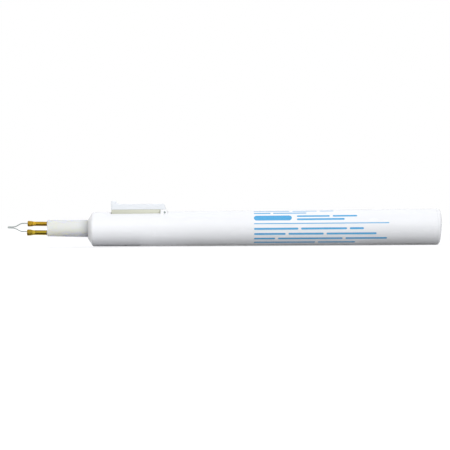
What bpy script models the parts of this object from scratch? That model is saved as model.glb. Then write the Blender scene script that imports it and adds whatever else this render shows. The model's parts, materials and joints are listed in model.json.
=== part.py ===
"""Battery cautery pen: barrel, hot tip, button switch and cells as separate solids.

Run with blender --background --python part.py, or from Blender's text editor.

The pen lies along X with its tip towards -X and its button on top. The origin is
under the middle of the whole pen, on the surface that it lies on. Places along the
pen are measured from the front face of the nose, towards the rear, and heights are
measured from the barrel's axis.
"""
import math

import bmesh
import bpy
from mathutils import Matrix, Vector

MM = 0.001

# Barrel moulding, whose bore follows from the cells
BARREL_WALL = 0.85 * MM
BARREL_DRAFT = 0.43 * MM
BARREL_SIDES = 48
NOSE_DEPTH = 2.2 * MM
NOSE_RING_WIDTH = 0.12 * MM
NOSE_CORNER = 1.0 * MM

# End cap
CAP_DOME_DEPTH = 2.7 * MM
CAP_DOME_ROUNDNESS = 2.4
CAP_FLAT_RADIUS = 1.6 * MM
CAP_SPIGOT_LENGTH = 6.4 * MM
CAP_WALL = 1.1 * MM

# Shaft and the tilted tip
SHAFT_NOSE_RADIUS = 4.09 * MM
SHAFT_FRONT_RADIUS = 3.90 * MM
SHAFT_REACH = 19.4 * MM
SHAFT_INNER_LENGTH = 8.0 * MM
SHAFT_CHAMFER = 0.3 * MM
SHAFT_SIDES = 32
TIP_LIFT = 0.38 * MM
TIP_TILT = math.radians(0.9)

# Brass tubes
ELECTRODE_RADIUS = 1.03 * MM
ELECTRODE_HOLE_RADIUS = 0.42 * MM
ELECTRODE_SPACING = 4.13 * MM
ELECTRODE_REACH = 9.9 * MM
ELECTRODE_INNER_REACH = 5.0 * MM
ELECTRODE_SIDES = 16
CRIMP_LENGTH = 2.3 * MM
CRIMP_HEIGHT = 2.66 * MM
CRIMP_WIDTH = 1.6 * MM
DIMPLE_RADIUS = 0.86 * MM
DIMPLE_LENGTH = 1.3 * MM

# Heater wire
WIRE_RADIUS = 0.24 * MM
WIRE_REACH = 9.6 * MM
WIRE_SHOULDER = 2.9 * MM
WIRE_FORK = 5.7 * MM
WIRE_PAIR_SPACING = 0.67 * MM
WIRE_PAIR_LIFT = 0.42 * MM
WIRE_SHOULDER_LIFT = 0.2 * MM
WIRE_TAIL = 6.0 * MM

# Button
BUTTON_SETBACK = 10.73 * MM
BUTTON_LENGTH = 26.5 * MM
BUTTON_WIDTH = 7.0 * MM
BUTTON_DEPTH = 2.56 * MM
BUTTON_LIFT = 1.14 * MM
BUTTON_EDGE = 0.35 * MM
BUTTON_REAR_SLOPE = 1.15 * MM
BUMP_HEIGHT = 1.6 * MM
BUMP_LENGTH = 1.9 * MM
BUMP_RUNOUT = 2.2 * MM
BUMP_CORNER = 0.5 * MM
BUTTON_WALL = 0.9 * MM
TONGUE_HEIGHT = 1.3 * MM

# Lever under the button's cap
LEVER_SIDE_INSET = 0.2 * MM
LEVER_FRONT_INSET = 0.45 * MM
LEVER_REAR_INSET = 2.75 * MM
LEVER_ROOF = 1.0 * MM
HOOK_REACH = 2.2 * MM
HOOK_WIDTH = 4.0 * MM
HOOK_THICKNESS = 1.3 * MM
RIB_SETBACK = 9.8 * MM
RIB_THICKNESS = 2.0 * MM
RIB_WIDTH = 3.0 * MM

# Hinge
PIN_RADIUS = 0.5 * MM
PIN_INSET = 0.53 * MM
PIN_DROP = 1.63 * MM
PIN_RECESS = 0.15 * MM
EAR_THICKNESS = 1.2 * MM
EAR_FRONT_LENGTH = 2.0 * MM
EAR_WALL = 0.47 * MM
EYE_WALL = 0.6 * MM
PRESS_ANGLE = math.radians(3.6)

# Switch
CARRIER_TOP = -0.5 * MM
CARRIER_TAIL = 9.27 * MM
CHANNEL_REAR_ROOM = 2.5 * MM
LEAF_THICKNESS = 0.25 * MM
LEAF_WIDTH = 4.0 * MM
LEAF_FOOT_LENGTH = 5.0 * MM
LEAF_SPAN = 8.0 * MM
LEAF_NOSE_LENGTH = 3.0 * MM
LEAF_LIFT = 1.75 * MM
STUD_HEAD_RADIUS = 1.3 * MM
STUD_SHANK_RADIUS = 0.6 * MM
RIVET_HEAD_RADIUS = 1.1 * MM
RIVET_HEAD_HEIGHT = 0.4 * MM
RIVET_DEPTH = 3.0 * MM
STRIP_THICKNESS = 0.22 * MM
STRIP_HALF_ANGLE = math.radians(15)
LEAD_RADIUS = 0.5 * MM
LEAD_SIDE = 4.2 * MM
LEAD_HEIGHT = 0.75 * MM

# Cells and their contacts
CELL_LENGTH = 50.0 * MM
CELL_RADIUS = 7.0 * MM
CELL_EDGE = 0.5 * MM
CELL_NUB_RADIUS = 2.7 * MM
CELL_NUB_LENGTH = 1.2 * MM
CELL_SIDES = 32
BULKHEAD_THICKNESS = 2.1 * MM
PLATE_THICKNESS = 0.4 * MM
PLATE_MARGIN = 0.5 * MM
SPRING_LENGTH = 8.9 * MM
SPRING_WIRE_RADIUS = 0.35 * MM
SPRING_REAR_RADIUS = 4.6 * MM
SPRING_FRONT_RADIUS = 3.0 * MM
SPRING_TURNS = 5

# Clearances
SEAM_GAP = 0.1 * MM
REST_GAP = 0.2 * MM
SLIDE_GAP = 0.15 * MM
SEAT_GAP = 0.25 * MM
SLOT_SIDE_GAP = 0.4 * MM
SLOT_FRONT_GAP = 0.7 * MM
SLOT_REAR_GAP = 0.4 * MM
PIN_GAP = 0.15 * MM
BORE_GAP = 0.1 * MM
CELL_GAP = 0.08 * MM

# Places along the pen, worked out from the sizes
BUTTON_REAR = BUTTON_SETBACK + BUTTON_LENGTH
PIN_X = BUTTON_REAR - PIN_INSET
RIB_X = BUTTON_SETBACK + RIB_SETBACK
RIVET_X = RIB_X + LEAF_SPAN + LEAF_FOOT_LENGTH / 2
CARRIER_REAR = BUTTON_REAR + CARRIER_TAIL
BULKHEAD_X = CARRIER_REAR + REST_GAP
PLATE_X = BULKHEAD_X + BULKHEAD_THICKNESS + REST_GAP
CELL_FRONT_X = PLATE_X + PLATE_THICKNESS + REST_GAP
CELL_REAR_X = CELL_FRONT_X + CELL_LENGTH + REST_GAP
SPRING_X = CELL_REAR_X + CELL_LENGTH + REST_GAP
SPRING_PLATE_X = SPRING_X + SPRING_LENGTH + REST_GAP
BARREL_LENGTH = SPRING_PLATE_X + PLATE_THICKNESS + REST_GAP + CAP_SPIGOT_LENGTH
TIP_REACH = SHAFT_REACH + ELECTRODE_REACH + WIRE_REACH
PEN_LENGTH = TIP_REACH + BARREL_LENGTH + SEAM_GAP + CAP_DOME_DEPTH
NOSE_X = TIP_REACH - PEN_LENGTH / 2

# Radii worked out from the sizes
STRIP_INNER_RADIUS = CELL_RADIUS + CELL_GAP
STRIP_OUTER_RADIUS = STRIP_INNER_RADIUS + STRIP_THICKNESS
CARRIER_RADIUS = STRIP_INNER_RADIUS - BORE_GAP
BORE_FRONT_RADIUS = STRIP_OUTER_RADIUS + BORE_GAP
BARREL_FRONT_RADIUS = BORE_FRONT_RADIUS + BARREL_WALL
BARREL_REAR_RADIUS = BARREL_FRONT_RADIUS + BARREL_DRAFT
NOSE_HOLE_RADIUS = SHAFT_NOSE_RADIUS + TIP_LIFT + SLIDE_GAP
NOSE_RING_RADIUS = NOSE_HOLE_RADIUS + NOSE_RING_WIDTH
PIN_HOLE_RADIUS = PIN_RADIUS + PIN_GAP
EAR_ROUND = PIN_HOLE_RADIUS + EAR_WALL
EYE_RADIUS = PIN_HOLE_RADIUS + EYE_WALL
LEAD_HOLE_RADIUS = LEAD_RADIUS + 2 * SEAT_GAP
PLATE_RADIUS = LEAD_SIDE + LEAD_RADIUS + PLATE_MARGIN
SLOT_WIDTH = BUTTON_WIDTH + 2 * SLOT_SIDE_GAP
LEVER_WIDTH = BUTTON_WIDTH - 2 * LEVER_SIDE_INSET
CHANNEL_WIDTH = 2 * (ELECTRODE_RADIUS + 2 * SEAT_GAP)

# The nose is a cone, and the bore stops where a full wall is left behind it
NOSE_ANGLE = math.atan2(BARREL_FRONT_RADIUS - NOSE_RING_RADIUS, NOSE_DEPTH)
BORE_START = ((BORE_FRONT_RADIUS - NOSE_RING_RADIUS) / math.tan(NOSE_ANGLE)
              + BARREL_WALL / math.sin(NOSE_ANGLE))


def barrel_radius(place):
    """Outer radius of the barrel at a place along the pen."""
    return BARREL_FRONT_RADIUS + BARREL_DRAFT * (place - NOSE_DEPTH) / (BARREL_LENGTH - NOSE_DEPTH)


def bore_radius(place):
    """Inner radius of the barrel at a place along the pen."""
    return barrel_radius(place) - BARREL_WALL


# Heights above the barrel's axis, worked out from the sizes
AXIS_Z = BARREL_REAR_RADIUS * math.cos(math.pi / BARREL_SIDES)
SPRING_PLATE_RADIUS = bore_radius(SPRING_PLATE_X) - REST_GAP
BUTTON_SKIRT = BARREL_FRONT_RADIUS + BUTTON_LIFT
BUTTON_TOP = BUTTON_SKIRT + BUTTON_DEPTH
PIN_HEIGHT = BUTTON_SKIRT - PIN_DROP
HOOK_TOP = math.sqrt(bore_radius(BUTTON_SETBACK) ** 2 - (HOOK_WIDTH / 2) ** 2) - SEAT_GAP
LEVER_BOTTOM = HOOK_TOP - HOOK_THICKNESS
LEVER_SEAT = BUTTON_SKIRT - SLIDE_GAP
CHANNEL_FLOOR = -ELECTRODE_SPACING / 2 - ELECTRODE_RADIUS - SEAT_GAP
RIB_DROP = (PIN_X - RIB_X) * math.sin(PRESS_ANGLE)
LEAF_FOOT_HEIGHT = CARRIER_TOP + BORE_GAP
LEAF_TOP = LEAF_FOOT_HEIGHT + LEAF_THICKNESS + LEAF_LIFT
RIB_BOTTOM = LEAF_TOP + SEAT_GAP
STUD_TOP = RIB_BOTTOM - RIB_DROP - LEAF_THICKNESS - BORE_GAP


def clear_scene():
    """Remove every object of the open scene."""
    for item in list(bpy.data.objects):
        bpy.data.objects.remove(item, do_unlink=True)


def finish(name, colour, roughness, metallic=0.0):
    """A plain surface finish."""
    material = bpy.data.materials.new(name)
    material.use_nodes = True
    shader = material.node_tree.nodes["Principled BSDF"]
    shader.inputs["Base Color"].default_value = (*colour, 1.0)
    shader.inputs["Roughness"].default_value = roughness
    shader.inputs["Metallic"].default_value = metallic
    material.diffuse_color = (*colour, 1.0)
    return material


def finishes():
    """All the finishes of the pen, by name."""
    return {
        "white": finish("white_moulding", (0.88, 0.89, 0.92), 0.35),
        "cap_white": finish("button_white", (0.84, 0.87, 0.91), 0.38),
        "cream": finish("cream_moulding", (0.74, 0.74, 0.66), 0.45),
        "brass": finish("crimped_brass", (0.66, 0.45, 0.13), 0.32, 1.0),
        "bronze": finish("contact_bronze", (0.70, 0.48, 0.26), 0.35, 1.0),
        "nickel": finish("plated_contact", (0.62, 0.62, 0.60), 0.30, 1.0),
        "steel": finish("pin_steel", (0.45, 0.46, 0.48), 0.35, 1.0),
        "heater": finish("heater_alloy", (0.52, 0.56, 0.55), 0.38, 1.0),
        "cell": finish("cell_wrap", (0.10, 0.12, 0.16), 0.40),
        "lead": finish("lead_insulation", (0.62, 0.08, 0.06), 0.50),
    }


def empty(name, location, parent=None, turn=(0.0, 0.0, 0.0)):
    """A frame that other pieces are placed in."""
    frame = bpy.data.objects.new(name, None)
    bpy.context.scene.collection.objects.link(frame)
    frame.parent = parent
    frame.location = location
    frame.rotation_euler = turn
    return frame


def place(item, parent, location, material):
    """Put an object in the scene under its parent, with its finish."""
    bpy.context.scene.collection.objects.link(item)
    item.parent = parent
    item.location = location
    if material is not None:
        item.data.materials.append(material)
    return item


def solid(name, shape, parent, location=(0.0, 0.0, 0.0), material=None, round_angle=35):
    """Turn a bmesh into a named object with its faces pointing out."""
    bmesh.ops.recalc_face_normals(shape, faces=shape.faces)
    mesh = bpy.data.meshes.new(name)
    shape.to_mesh(mesh)
    shape.free()
    mesh.shade_smooth()
    mesh.set_sharp_from_angle(angle=math.radians(round_angle))
    return place(bpy.data.objects.new(name, mesh), parent, location, material)


def turned_shape(profile, sides, closed):
    """Spin a profile of (place, radius) points about the X axis.

    A closed profile is a ring section and makes a tube. An open one starts and ends
    on the axis and makes a solid.
    """
    shape = bmesh.new()
    points = [shape.verts.new((along, 0.0, radius)) for along, radius in profile]
    edges = [shape.edges.new(pair) for pair in zip(points, points[1:])]
    if closed:
        edges.append(shape.edges.new((points[-1], points[0])))
    bmesh.ops.spin(shape, geom=points + edges, cent=(0, 0, 0), axis=(1, 0, 0),
                   angle=math.tau, steps=sides, use_merge=True)
    bmesh.ops.remove_doubles(shape, verts=shape.verts, dist=0.000002)
    half_step = Matrix.Rotation(math.pi / sides, 3, "X")
    bmesh.ops.rotate(shape, verts=shape.verts, cent=(0, 0, 0), matrix=half_step)
    return shape


def slab_shape(outline, width, origin=(0.0, 0.0)):
    """Extrude an outline of (place, height) points across the pen."""
    shape = bmesh.new()
    points = [shape.verts.new((along - origin[0], -width / 2, height - origin[1]))
              for along, height in outline]
    face = shape.faces.new(points)
    grown = bmesh.ops.extrude_face_region(shape, geom=[face])
    moved = [item for item in grown["geom"] if isinstance(item, bmesh.types.BMVert)]
    bmesh.ops.translate(shape, verts=moved, vec=(0.0, width, 0.0))
    return shape


def block(low, high):
    """Outline of a rectangle from its low corner to its high corner."""
    return [(low[0], low[1]), (high[0], low[1]), (high[0], high[1]), (low[0], high[1])]


def arc(centre, radius, start, end, steps):
    """Points on an arc of (place, height), with its angles in degrees."""
    angles = [math.radians(start + (end - start) * step / steps) for step in range(steps + 1)]
    return [(centre[0] + radius * math.cos(angle), centre[1] + radius * math.sin(angle))
            for angle in angles]


def cylinder_shape(radius, length, sides, axis="X"):
    """A plain cylinder that starts at the origin and runs along an axis."""
    shape = turned_shape([(0, 0), (0, radius), (length, radius), (length, 0)], sides, False)
    if axis == "Y":
        turn = Matrix.Rotation(math.pi / 2, 3, "Z")
        bmesh.ops.rotate(shape, verts=shape.verts, cent=(0, 0, 0), matrix=turn)
    if axis == "Z":
        turn = Matrix.Rotation(-math.pi / 2, 3, "Y")
        bmesh.ops.rotate(shape, verts=shape.verts, cent=(0, 0, 0), matrix=turn)
    return shape


def combine(item, tool, operation):
    """Cut, add or keep the shape of one object with another, which is then hidden."""
    modifier = item.modifiers.new(tool.name, "BOOLEAN")
    modifier.operation = operation
    modifier.solver = "EXACT"
    modifier.object = tool
    tool.hide_render = True
    tool.display_type = "WIRE"


def smooth_path(points, steps):
    """Points on a smooth curve through the given ones."""
    ends = [points[0], *points, points[-1]]
    path = []
    for index in range(1, len(ends) - 2):
        before, start, end, after = [Vector(point) for point in ends[index - 1:index + 3]]
        for step in range(steps):
            t = step / steps
            path.append(0.5 * (2 * start + (end - before) * t
                               + (2 * before - 5 * start + 4 * end - after) * t ** 2
                               + (3 * start - before - 3 * end + after) * t ** 3))
    path.append(Vector(points[-1]))
    return path


def round_bar(name, path, radius, parent, material, resolution=1):
    """A round wire along a path, with filled ends."""
    curve = bpy.data.curves.new(name, "CURVE")
    curve.dimensions = "3D"
    curve.bevel_depth = radius
    curve.bevel_resolution = resolution
    curve.use_fill_caps = True
    spline = curve.splines.new("POLY")
    spline.points.add(len(path) - 1)
    for point, corner in zip(spline.points, path):
        point.co = (*corner, 1.0)
    return place(bpy.data.objects.new(name, curve), parent, (0, 0, 0), material)


def superellipse(depth, reach, roundness, steps):
    """Points of a rounded corner, from (0, reach) at its wide end to (depth, 0)."""
    points = []
    for step in range(steps + 1):
        angle = math.pi / 2 * step / steps
        along = depth * math.sin(angle) ** (2 / roundness)
        out = reach * math.cos(angle) ** (2 / roundness)
        points.append((along, out))
    return points


def build_barrel(pen, looks):
    """The barrel with its conical nose, button slot and hinge ears."""
    corner_end = NOSE_DEPTH + NOSE_CORNER * math.tan(NOSE_ANGLE / 2)
    corner = arc((corner_end, BARREL_FRONT_RADIUS - NOSE_CORNER), NOSE_CORNER, 90, 90 + math.degrees(NOSE_ANGLE), 5)
    profile = [(BARREL_LENGTH, bore_radius(BARREL_LENGTH)), (BARREL_LENGTH, BARREL_REAR_RADIUS)]
    profile += corner
    profile += [(0.0, NOSE_RING_RADIUS), (0.0, NOSE_HOLE_RADIUS)]
    profile += [(BORE_START, NOSE_HOLE_RADIUS), (BORE_START, bore_radius(BORE_START))]
    barrel = solid("barrel", turned_shape(profile, BARREL_SIDES, True), pen, material=looks["white"])

    ear_rear = PIN_X + EAR_ROUND
    ear_root = PIN_HEIGHT - 2 * EAR_ROUND
    outline = [(PIN_X - EAR_FRONT_LENGTH, ear_root), (ear_rear, ear_root)]
    outline += arc((PIN_X, PIN_HEIGHT), EAR_ROUND, 0, 90, 4)
    outline += [(PIN_X - EAR_FRONT_LENGTH, PIN_HEIGHT + EAR_ROUND)]
    ears = solid("ear_blank", slab_shape(outline, SLOT_WIDTH + 2 * EAR_THICKNESS), pen)
    combine(barrel, ears, "UNION")

    slot_top = PIN_HEIGHT + 2 * EAR_ROUND
    slot_front = BUTTON_SETBACK - SLOT_FRONT_GAP
    slot_rear = PIN_X + EYE_RADIUS + SLOT_REAR_GAP
    slot = slab_shape(block((slot_front, 0.0), (slot_rear, slot_top)), SLOT_WIDTH)
    combine(barrel, solid("slot_cutter", slot, pen), "DIFFERENCE")

    reach = SLOT_WIDTH + 4 * EAR_THICKNESS
    hole = cylinder_shape(PIN_HOLE_RADIUS, reach, 16, "Y")
    combine(barrel, solid("pin_hole_cutter", hole, pen, (PIN_X, -reach / 2, PIN_HEIGHT)), "DIFFERENCE")


def build_end_cap(pen, looks):
    """The domed plug that closes the barrel."""
    dome = [(along, out) for along, out in
            superellipse(CAP_DOME_DEPTH, BARREL_REAR_RADIUS, CAP_DOME_ROUNDNESS, 14)
            if out > CAP_FLAT_RADIUS]
    spigot_radius = bore_radius(BARREL_LENGTH) - SLIDE_GAP - BORE_GAP
    hollow_radius = spigot_radius - CAP_WALL
    spigot_front = -CAP_SPIGOT_LENGTH - SEAM_GAP
    profile = [(0, 0), (0, hollow_radius), (spigot_front, hollow_radius), (spigot_front, spigot_radius),
               (0, spigot_radius)]
    profile += dome
    profile += [(CAP_DOME_DEPTH, CAP_FLAT_RADIUS), (CAP_DOME_DEPTH, 0)]
    shape = turned_shape(profile, BARREL_SIDES, False)
    solid("end_cap", shape, pen, (BARREL_LENGTH + SEAM_GAP, 0, 0), looks["white"])


def build_shaft(tip, looks):
    """The insulating rod with two bores for the brass tubes."""
    profile = [(-SHAFT_REACH, 0), (-SHAFT_REACH, SHAFT_FRONT_RADIUS - SHAFT_CHAMFER),
               (-SHAFT_REACH + SHAFT_CHAMFER, SHAFT_FRONT_RADIUS), (0, SHAFT_NOSE_RADIUS),
               (SHAFT_INNER_LENGTH, SHAFT_NOSE_RADIUS), (SHAFT_INNER_LENGTH, 0)]
    shaft = solid("shaft", turned_shape(profile, SHAFT_SIDES, False), tip, material=looks["cream"])
    margin = SHAFT_CHAMFER
    bore_length = SHAFT_REACH + SHAFT_INNER_LENGTH + 2 * margin
    for side, height in electrode_heights().items():
        bore = cylinder_shape(ELECTRODE_RADIUS + BORE_GAP, bore_length, ELECTRODE_SIDES)
        cutter = solid("shaft_bore_" + side, bore, tip, (-SHAFT_REACH - margin, 0, height))
        combine(shaft, cutter, "DIFFERENCE")


def electrode_heights():
    """Heights of the two brass tubes above the shaft's axis."""
    return {"upper": ELECTRODE_SPACING / 2, "lower": -ELECTRODE_SPACING / 2}


def ring_of_points(shape, along, half_width, half_height, sides):
    """Vertices of one elliptical section across the pen."""
    angles = [math.tau * (index + 0.5) / sides for index in range(sides)]
    return [shape.verts.new((along, half_width * math.cos(angle), half_height * math.sin(angle)))
            for angle in angles]


def build_electrodes(tip, looks):
    """Two brass tubes whose front ends are crimped flat on the wire."""
    start = -SHAFT_REACH - ELECTRODE_REACH
    end = SHAFT_INNER_LENGTH + ELECTRODE_INNER_REACH
    radius = ELECTRODE_RADIUS
    hole = ELECTRODE_HOLE_RADIUS
    crimp_end = start + CRIMP_LENGTH
    dimple = crimp_end + DIMPLE_LENGTH / 2
    dimple_end = crimp_end + DIMPLE_LENGTH
    outer = [(start, 0.80 * CRIMP_WIDTH / 2, 0.88 * CRIMP_HEIGHT / 2),
             (start + 0.12 * CRIMP_LENGTH, CRIMP_WIDTH / 2, CRIMP_HEIGHT / 2),
             (start + 0.75 * CRIMP_LENGTH, CRIMP_WIDTH / 2, CRIMP_HEIGHT / 2),
             (crimp_end, (CRIMP_WIDTH / 2 + radius) / 2, radius),
             (dimple, DIMPLE_RADIUS, DIMPLE_RADIUS),
             (dimple_end, radius, radius),
             (end, radius, radius)]
    for side, height in electrode_heights().items():
        shape = bmesh.new()
        rings = [ring_of_points(shape, *station, ELECTRODE_SIDES) for station in outer]
        rings.append(ring_of_points(shape, end, hole, hole, ELECTRODE_SIDES))
        rings.append(ring_of_points(shape, start, hole, hole, ELECTRODE_SIDES))
        for ring, following in zip(rings, rings[1:] + rings[:1]):
            for index in range(ELECTRODE_SIDES):
                after = (index + 1) % ELECTRODE_SIDES
                shape.faces.new((ring[index], ring[after], following[after], following[index]))
        solid("electrode_" + side, shape, tip, (0, 0, height), looks["brass"], 50)


def heater_half(side):
    """Corner points of one half of the heater wire, from its tail to the pair."""
    mouth = -SHAFT_REACH - ELECTRODE_REACH
    height = side * ELECTRODE_SPACING / 2
    shoulder = height + WIRE_SHOULDER_LIFT
    pair = WIRE_PAIR_LIFT + side * WIRE_PAIR_SPACING / 2
    tip_turn = mouth - WIRE_REACH + WIRE_RADIUS + WIRE_PAIR_SPACING / 2
    return [(mouth + WIRE_TAIL, 0, height), (mouth + WIRE_TAIL / 2, 0, height), (mouth, 0, height),
            (mouth - WIRE_SHOULDER * 0.55, 0, shoulder),
            (mouth - WIRE_SHOULDER, 0, shoulder * 0.92 + pair * 0.08),
            (mouth - WIRE_FORK * 0.74, 0, shoulder * 0.35 + pair * 0.65),
            (mouth - WIRE_FORK, 0, pair), (tip_turn, 0, pair)]


def build_heater_wire(tip, looks):
    """The wire loop: out of the upper tube, round the tip and back to the lower one."""
    upper = smooth_path(heater_half(1), 4)
    lower = smooth_path(heater_half(-1), 4)
    turn_x = upper[-1].x
    radius = WIRE_PAIR_SPACING / 2
    bend = [Vector((along, 0, height))
            for along, height in arc((turn_x, WIRE_PAIR_LIFT), radius, 90, 270, 6)]
    path = upper[:-1] + bend + lower[-2::-1]
    round_bar("heater_wire", path, WIRE_RADIUS, tip, looks["heater"], 1)


def cap_outline():
    """Side outline of the button's cap, with its finger stop."""
    front = BUTTON_SETBACK
    bump_top = BUTTON_TOP + BUMP_HEIGHT
    outline = [(BUTTON_REAR, BUTTON_SKIRT)]
    outline += arc((BUTTON_REAR - BUTTON_REAR_SLOPE - BUMP_CORNER, BUTTON_TOP - BUMP_CORNER), BUMP_CORNER, 25, 90, 3)
    for step in range(7):
        share = 1 - step / 6
        outline.append((front + BUMP_LENGTH + BUMP_RUNOUT * share,
                        BUTTON_TOP + (BUMP_HEIGHT - 0.05 * MM) * (1 - share) ** 2))
    outline += arc((front + BUMP_CORNER, bump_top - BUMP_CORNER), BUMP_CORNER, 70, 180, 4)
    outline.append((front, BUTTON_SKIRT))
    return outline


def build_button_cap(pivot, looks):
    """The white cap, hollow underneath, on the lever's tongue."""
    origin = (PIN_X, PIN_HEIGHT)
    cap = solid("button_cap", slab_shape(cap_outline(), BUTTON_WIDTH, origin), pivot, material=looks["cap_white"])
    edge = cap.modifiers.new("soft_edges", "BEVEL")
    edge.width = BUTTON_EDGE
    edge.segments = 2
    edge.limit_method = "ANGLE"
    edge.angle_limit = math.radians(60)
    hollow = block((BUTTON_SETBACK + BUTTON_WALL, BUTTON_SKIRT - BUTTON_EDGE - BUTTON_WALL),
                   (BUTTON_REAR - BUTTON_REAR_SLOPE - BUTTON_WALL, BUTTON_TOP - BUTTON_WALL))
    cutter = solid("cap_hollow", slab_shape(hollow, BUTTON_WIDTH - 2 * BUTTON_WALL, origin), pivot)
    combine(cap, cutter, "DIFFERENCE")


def build_button_lever(pivot, looks):
    """The cream lever: shell, tongue, hinge eye, hook and the rib over the leaf."""
    origin = (PIN_X, PIN_HEIGHT)
    front = BUTTON_SETBACK + LEVER_FRONT_INSET
    rear = BUTTON_REAR - LEVER_REAR_INSET
    wall = BUTTON_WALL
    body = slab_shape(block((front, LEVER_BOTTOM), (rear, LEVER_SEAT)), LEVER_WIDTH, origin)
    lever = solid("button_lever", body, pivot, material=looks["cream"])

    room = block((front + wall, LEVER_BOTTOM - wall), (rear - wall, LEVER_SEAT - LEVER_ROOF))
    combine(lever, solid("lever_hollow", slab_shape(room, LEVER_WIDTH - 2 * wall, origin), pivot), "DIFFERENCE")

    tongue_width = BUTTON_WIDTH - 2 * BUTTON_WALL - 2 * SLIDE_GAP
    tongue_front = BUTTON_SETBACK + BUTTON_WALL + SLIDE_GAP
    tongue_rear = BUTTON_REAR - BUTTON_REAR_SLOPE - BUTTON_WALL - SLIDE_GAP
    tongue_rear = min(tongue_rear, rear - wall)
    tongue = block((tongue_front, LEVER_SEAT - LEVER_ROOF / 2), (tongue_rear, LEVER_SEAT + TONGUE_HEIGHT))
    combine(lever, solid("tongue_blank", slab_shape(tongue, tongue_width, origin), pivot), "UNION")

    hook = block((front - HOOK_REACH, LEVER_BOTTOM), (front + wall / 2, HOOK_TOP))
    combine(lever, solid("hook_blank", slab_shape(hook, HOOK_WIDTH, origin), pivot), "UNION")

    rib = block((RIB_X - RIB_THICKNESS / 2, RIB_BOTTOM), (RIB_X + RIB_THICKNESS / 2, LEVER_SEAT - LEVER_ROOF / 2))
    combine(lever, solid("rib_blank", slab_shape(rib, RIB_WIDTH, origin), pivot), "UNION")

    arm = arc((PIN_X, PIN_HEIGHT), EYE_RADIUS, -90, 90, 8)
    arm += [(rear - wall / 2, PIN_HEIGHT + EYE_RADIUS), (rear - wall / 2, PIN_HEIGHT - EYE_RADIUS)]
    combine(lever, solid("arm_blank", slab_shape(arm, LEVER_WIDTH - wall / 2, origin), pivot), "UNION")

    hole = cylinder_shape(PIN_HOLE_RADIUS, 2 * LEVER_WIDTH, 16, "Y")
    combine(lever, solid("eye_cutter", hole, pivot, (0, -LEVER_WIDTH, 0)), "DIFFERENCE")


def build_hinge_pin(pen, looks):
    """The pin through the ears and the lever's eye."""
    length = SLOT_WIDTH + 2 * EAR_THICKNESS - 2 * PIN_RECESS
    shape = cylinder_shape(PIN_RADIUS, length, 16, "Y")
    solid("hinge_pin", shape, pen, (PIN_X, -length / 2, PIN_HEIGHT), looks["steel"])


def build_switch_carrier(pen, tip, looks):
    """The lower half of the switch: a cradle for the shaft and a deck for the contacts."""
    start = BORE_START + REST_GAP
    shape = cylinder_shape(CARRIER_RADIUS, CARRIER_REAR - start, BARREL_SIDES)
    carrier = solid("switch_carrier", shape, pen, (start, 0, 0), looks["cream"])

    deck = block((0, CARRIER_TOP), (CARRIER_REAR + REST_GAP, 2 * CARRIER_RADIUS))
    combine(carrier, solid("deck_cutter", slab_shape(deck, 3 * CARRIER_RADIUS), pen), "DIFFERENCE")

    cradle = cylinder_shape(SHAFT_NOSE_RADIUS + SEAT_GAP, SHAFT_INNER_LENGTH + SEAT_GAP, SHAFT_SIDES)
    combine(carrier, solid("cradle_cutter", cradle, tip), "DIFFERENCE")

    channel_end = SHAFT_INNER_LENGTH + ELECTRODE_INNER_REACH + CHANNEL_REAR_ROOM
    channel = block((BORE_START, CHANNEL_FLOOR), (channel_end, CARRIER_RADIUS))
    combine(carrier, solid("channel_cutter", slab_shape(channel, CHANNEL_WIDTH), pen), "DIFFERENCE")

    stud_hole = cylinder_shape(STUD_SHANK_RADIUS + SLIDE_GAP, 2 * CARRIER_RADIUS, 16, "Z")
    combine(carrier, solid("stud_cutter", stud_hole, pen, (RIB_X, 0, -2 * CARRIER_RADIUS)), "DIFFERENCE")

    rivet_hole = cylinder_shape(STUD_SHANK_RADIUS + SLIDE_GAP, 2 * RIVET_DEPTH, 16, "Z")
    drill_bottom = CARRIER_TOP - RIVET_DEPTH - SEAT_GAP
    combine(carrier, solid("rivet_cutter", rivet_hole, pen, (RIVET_X, 0, drill_bottom)), "DIFFERENCE")


def strip_outline(points, thickness):
    """Outline of a strip of even thickness whose lower side follows the points."""
    lower = [Vector(point) for point in points]
    upper = []
    for index, point in enumerate(lower):
        before = lower[max(index - 1, 0)]
        after = lower[min(index + 1, len(lower) - 1)]
        run = (after - before).normalized()
        upper.append(point + Vector((-run.y, run.x)) * thickness)
    return [tuple(point) for point in lower + upper[::-1]]


def build_contact_leaf(pen, looks):
    """The bowed strip under the rib, held at its rear foot."""
    foot = LEAF_FOOT_HEIGHT
    crest = foot + LEAF_LIFT
    points = [(RIB_X - LEAF_NOSE_LENGTH, crest - 0.35 * LEAF_LIFT)]
    points += [(RIB_X - 0.5 * LEAF_NOSE_LENGTH, crest - 0.08 * LEAF_LIFT)]
    for step in range(9):
        share = step / 8
        points.append((RIB_X + LEAF_SPAN * share, foot + LEAF_LIFT * (1 + math.cos(math.pi * share)) / 2))
    points.append((RIB_X + LEAF_SPAN + LEAF_FOOT_LENGTH, foot))
    shape = slab_shape(strip_outline(points, LEAF_THICKNESS), LEAF_WIDTH)
    leaf = solid("contact_leaf", shape, pen, material=looks["bronze"])
    hole = cylinder_shape(STUD_SHANK_RADIUS + SLIDE_GAP, 4 * LEAF_LIFT, 16, "Z")
    combine(leaf, solid("leaf_hole", hole, pen, (RIVET_X, 0, -2 * LEAF_LIFT)), "DIFFERENCE")


def headed_shape(head_radius, head_height, shank_radius, shank_length):
    """A stud with its shank down: the head's underside is at the origin."""
    profile = [(-shank_length, 0), (-shank_length, shank_radius), (0, shank_radius), (0, head_radius),
               (head_height * 0.7, head_radius), (head_height, head_radius * 0.75), (head_height, 0)]
    shape = turned_shape(profile, 16, False)
    turn = Matrix.Rotation(-math.pi / 2, 3, "Y")
    bmesh.ops.rotate(shape, verts=shape.verts, cent=(0, 0, 0), matrix=turn)
    return shape


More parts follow.
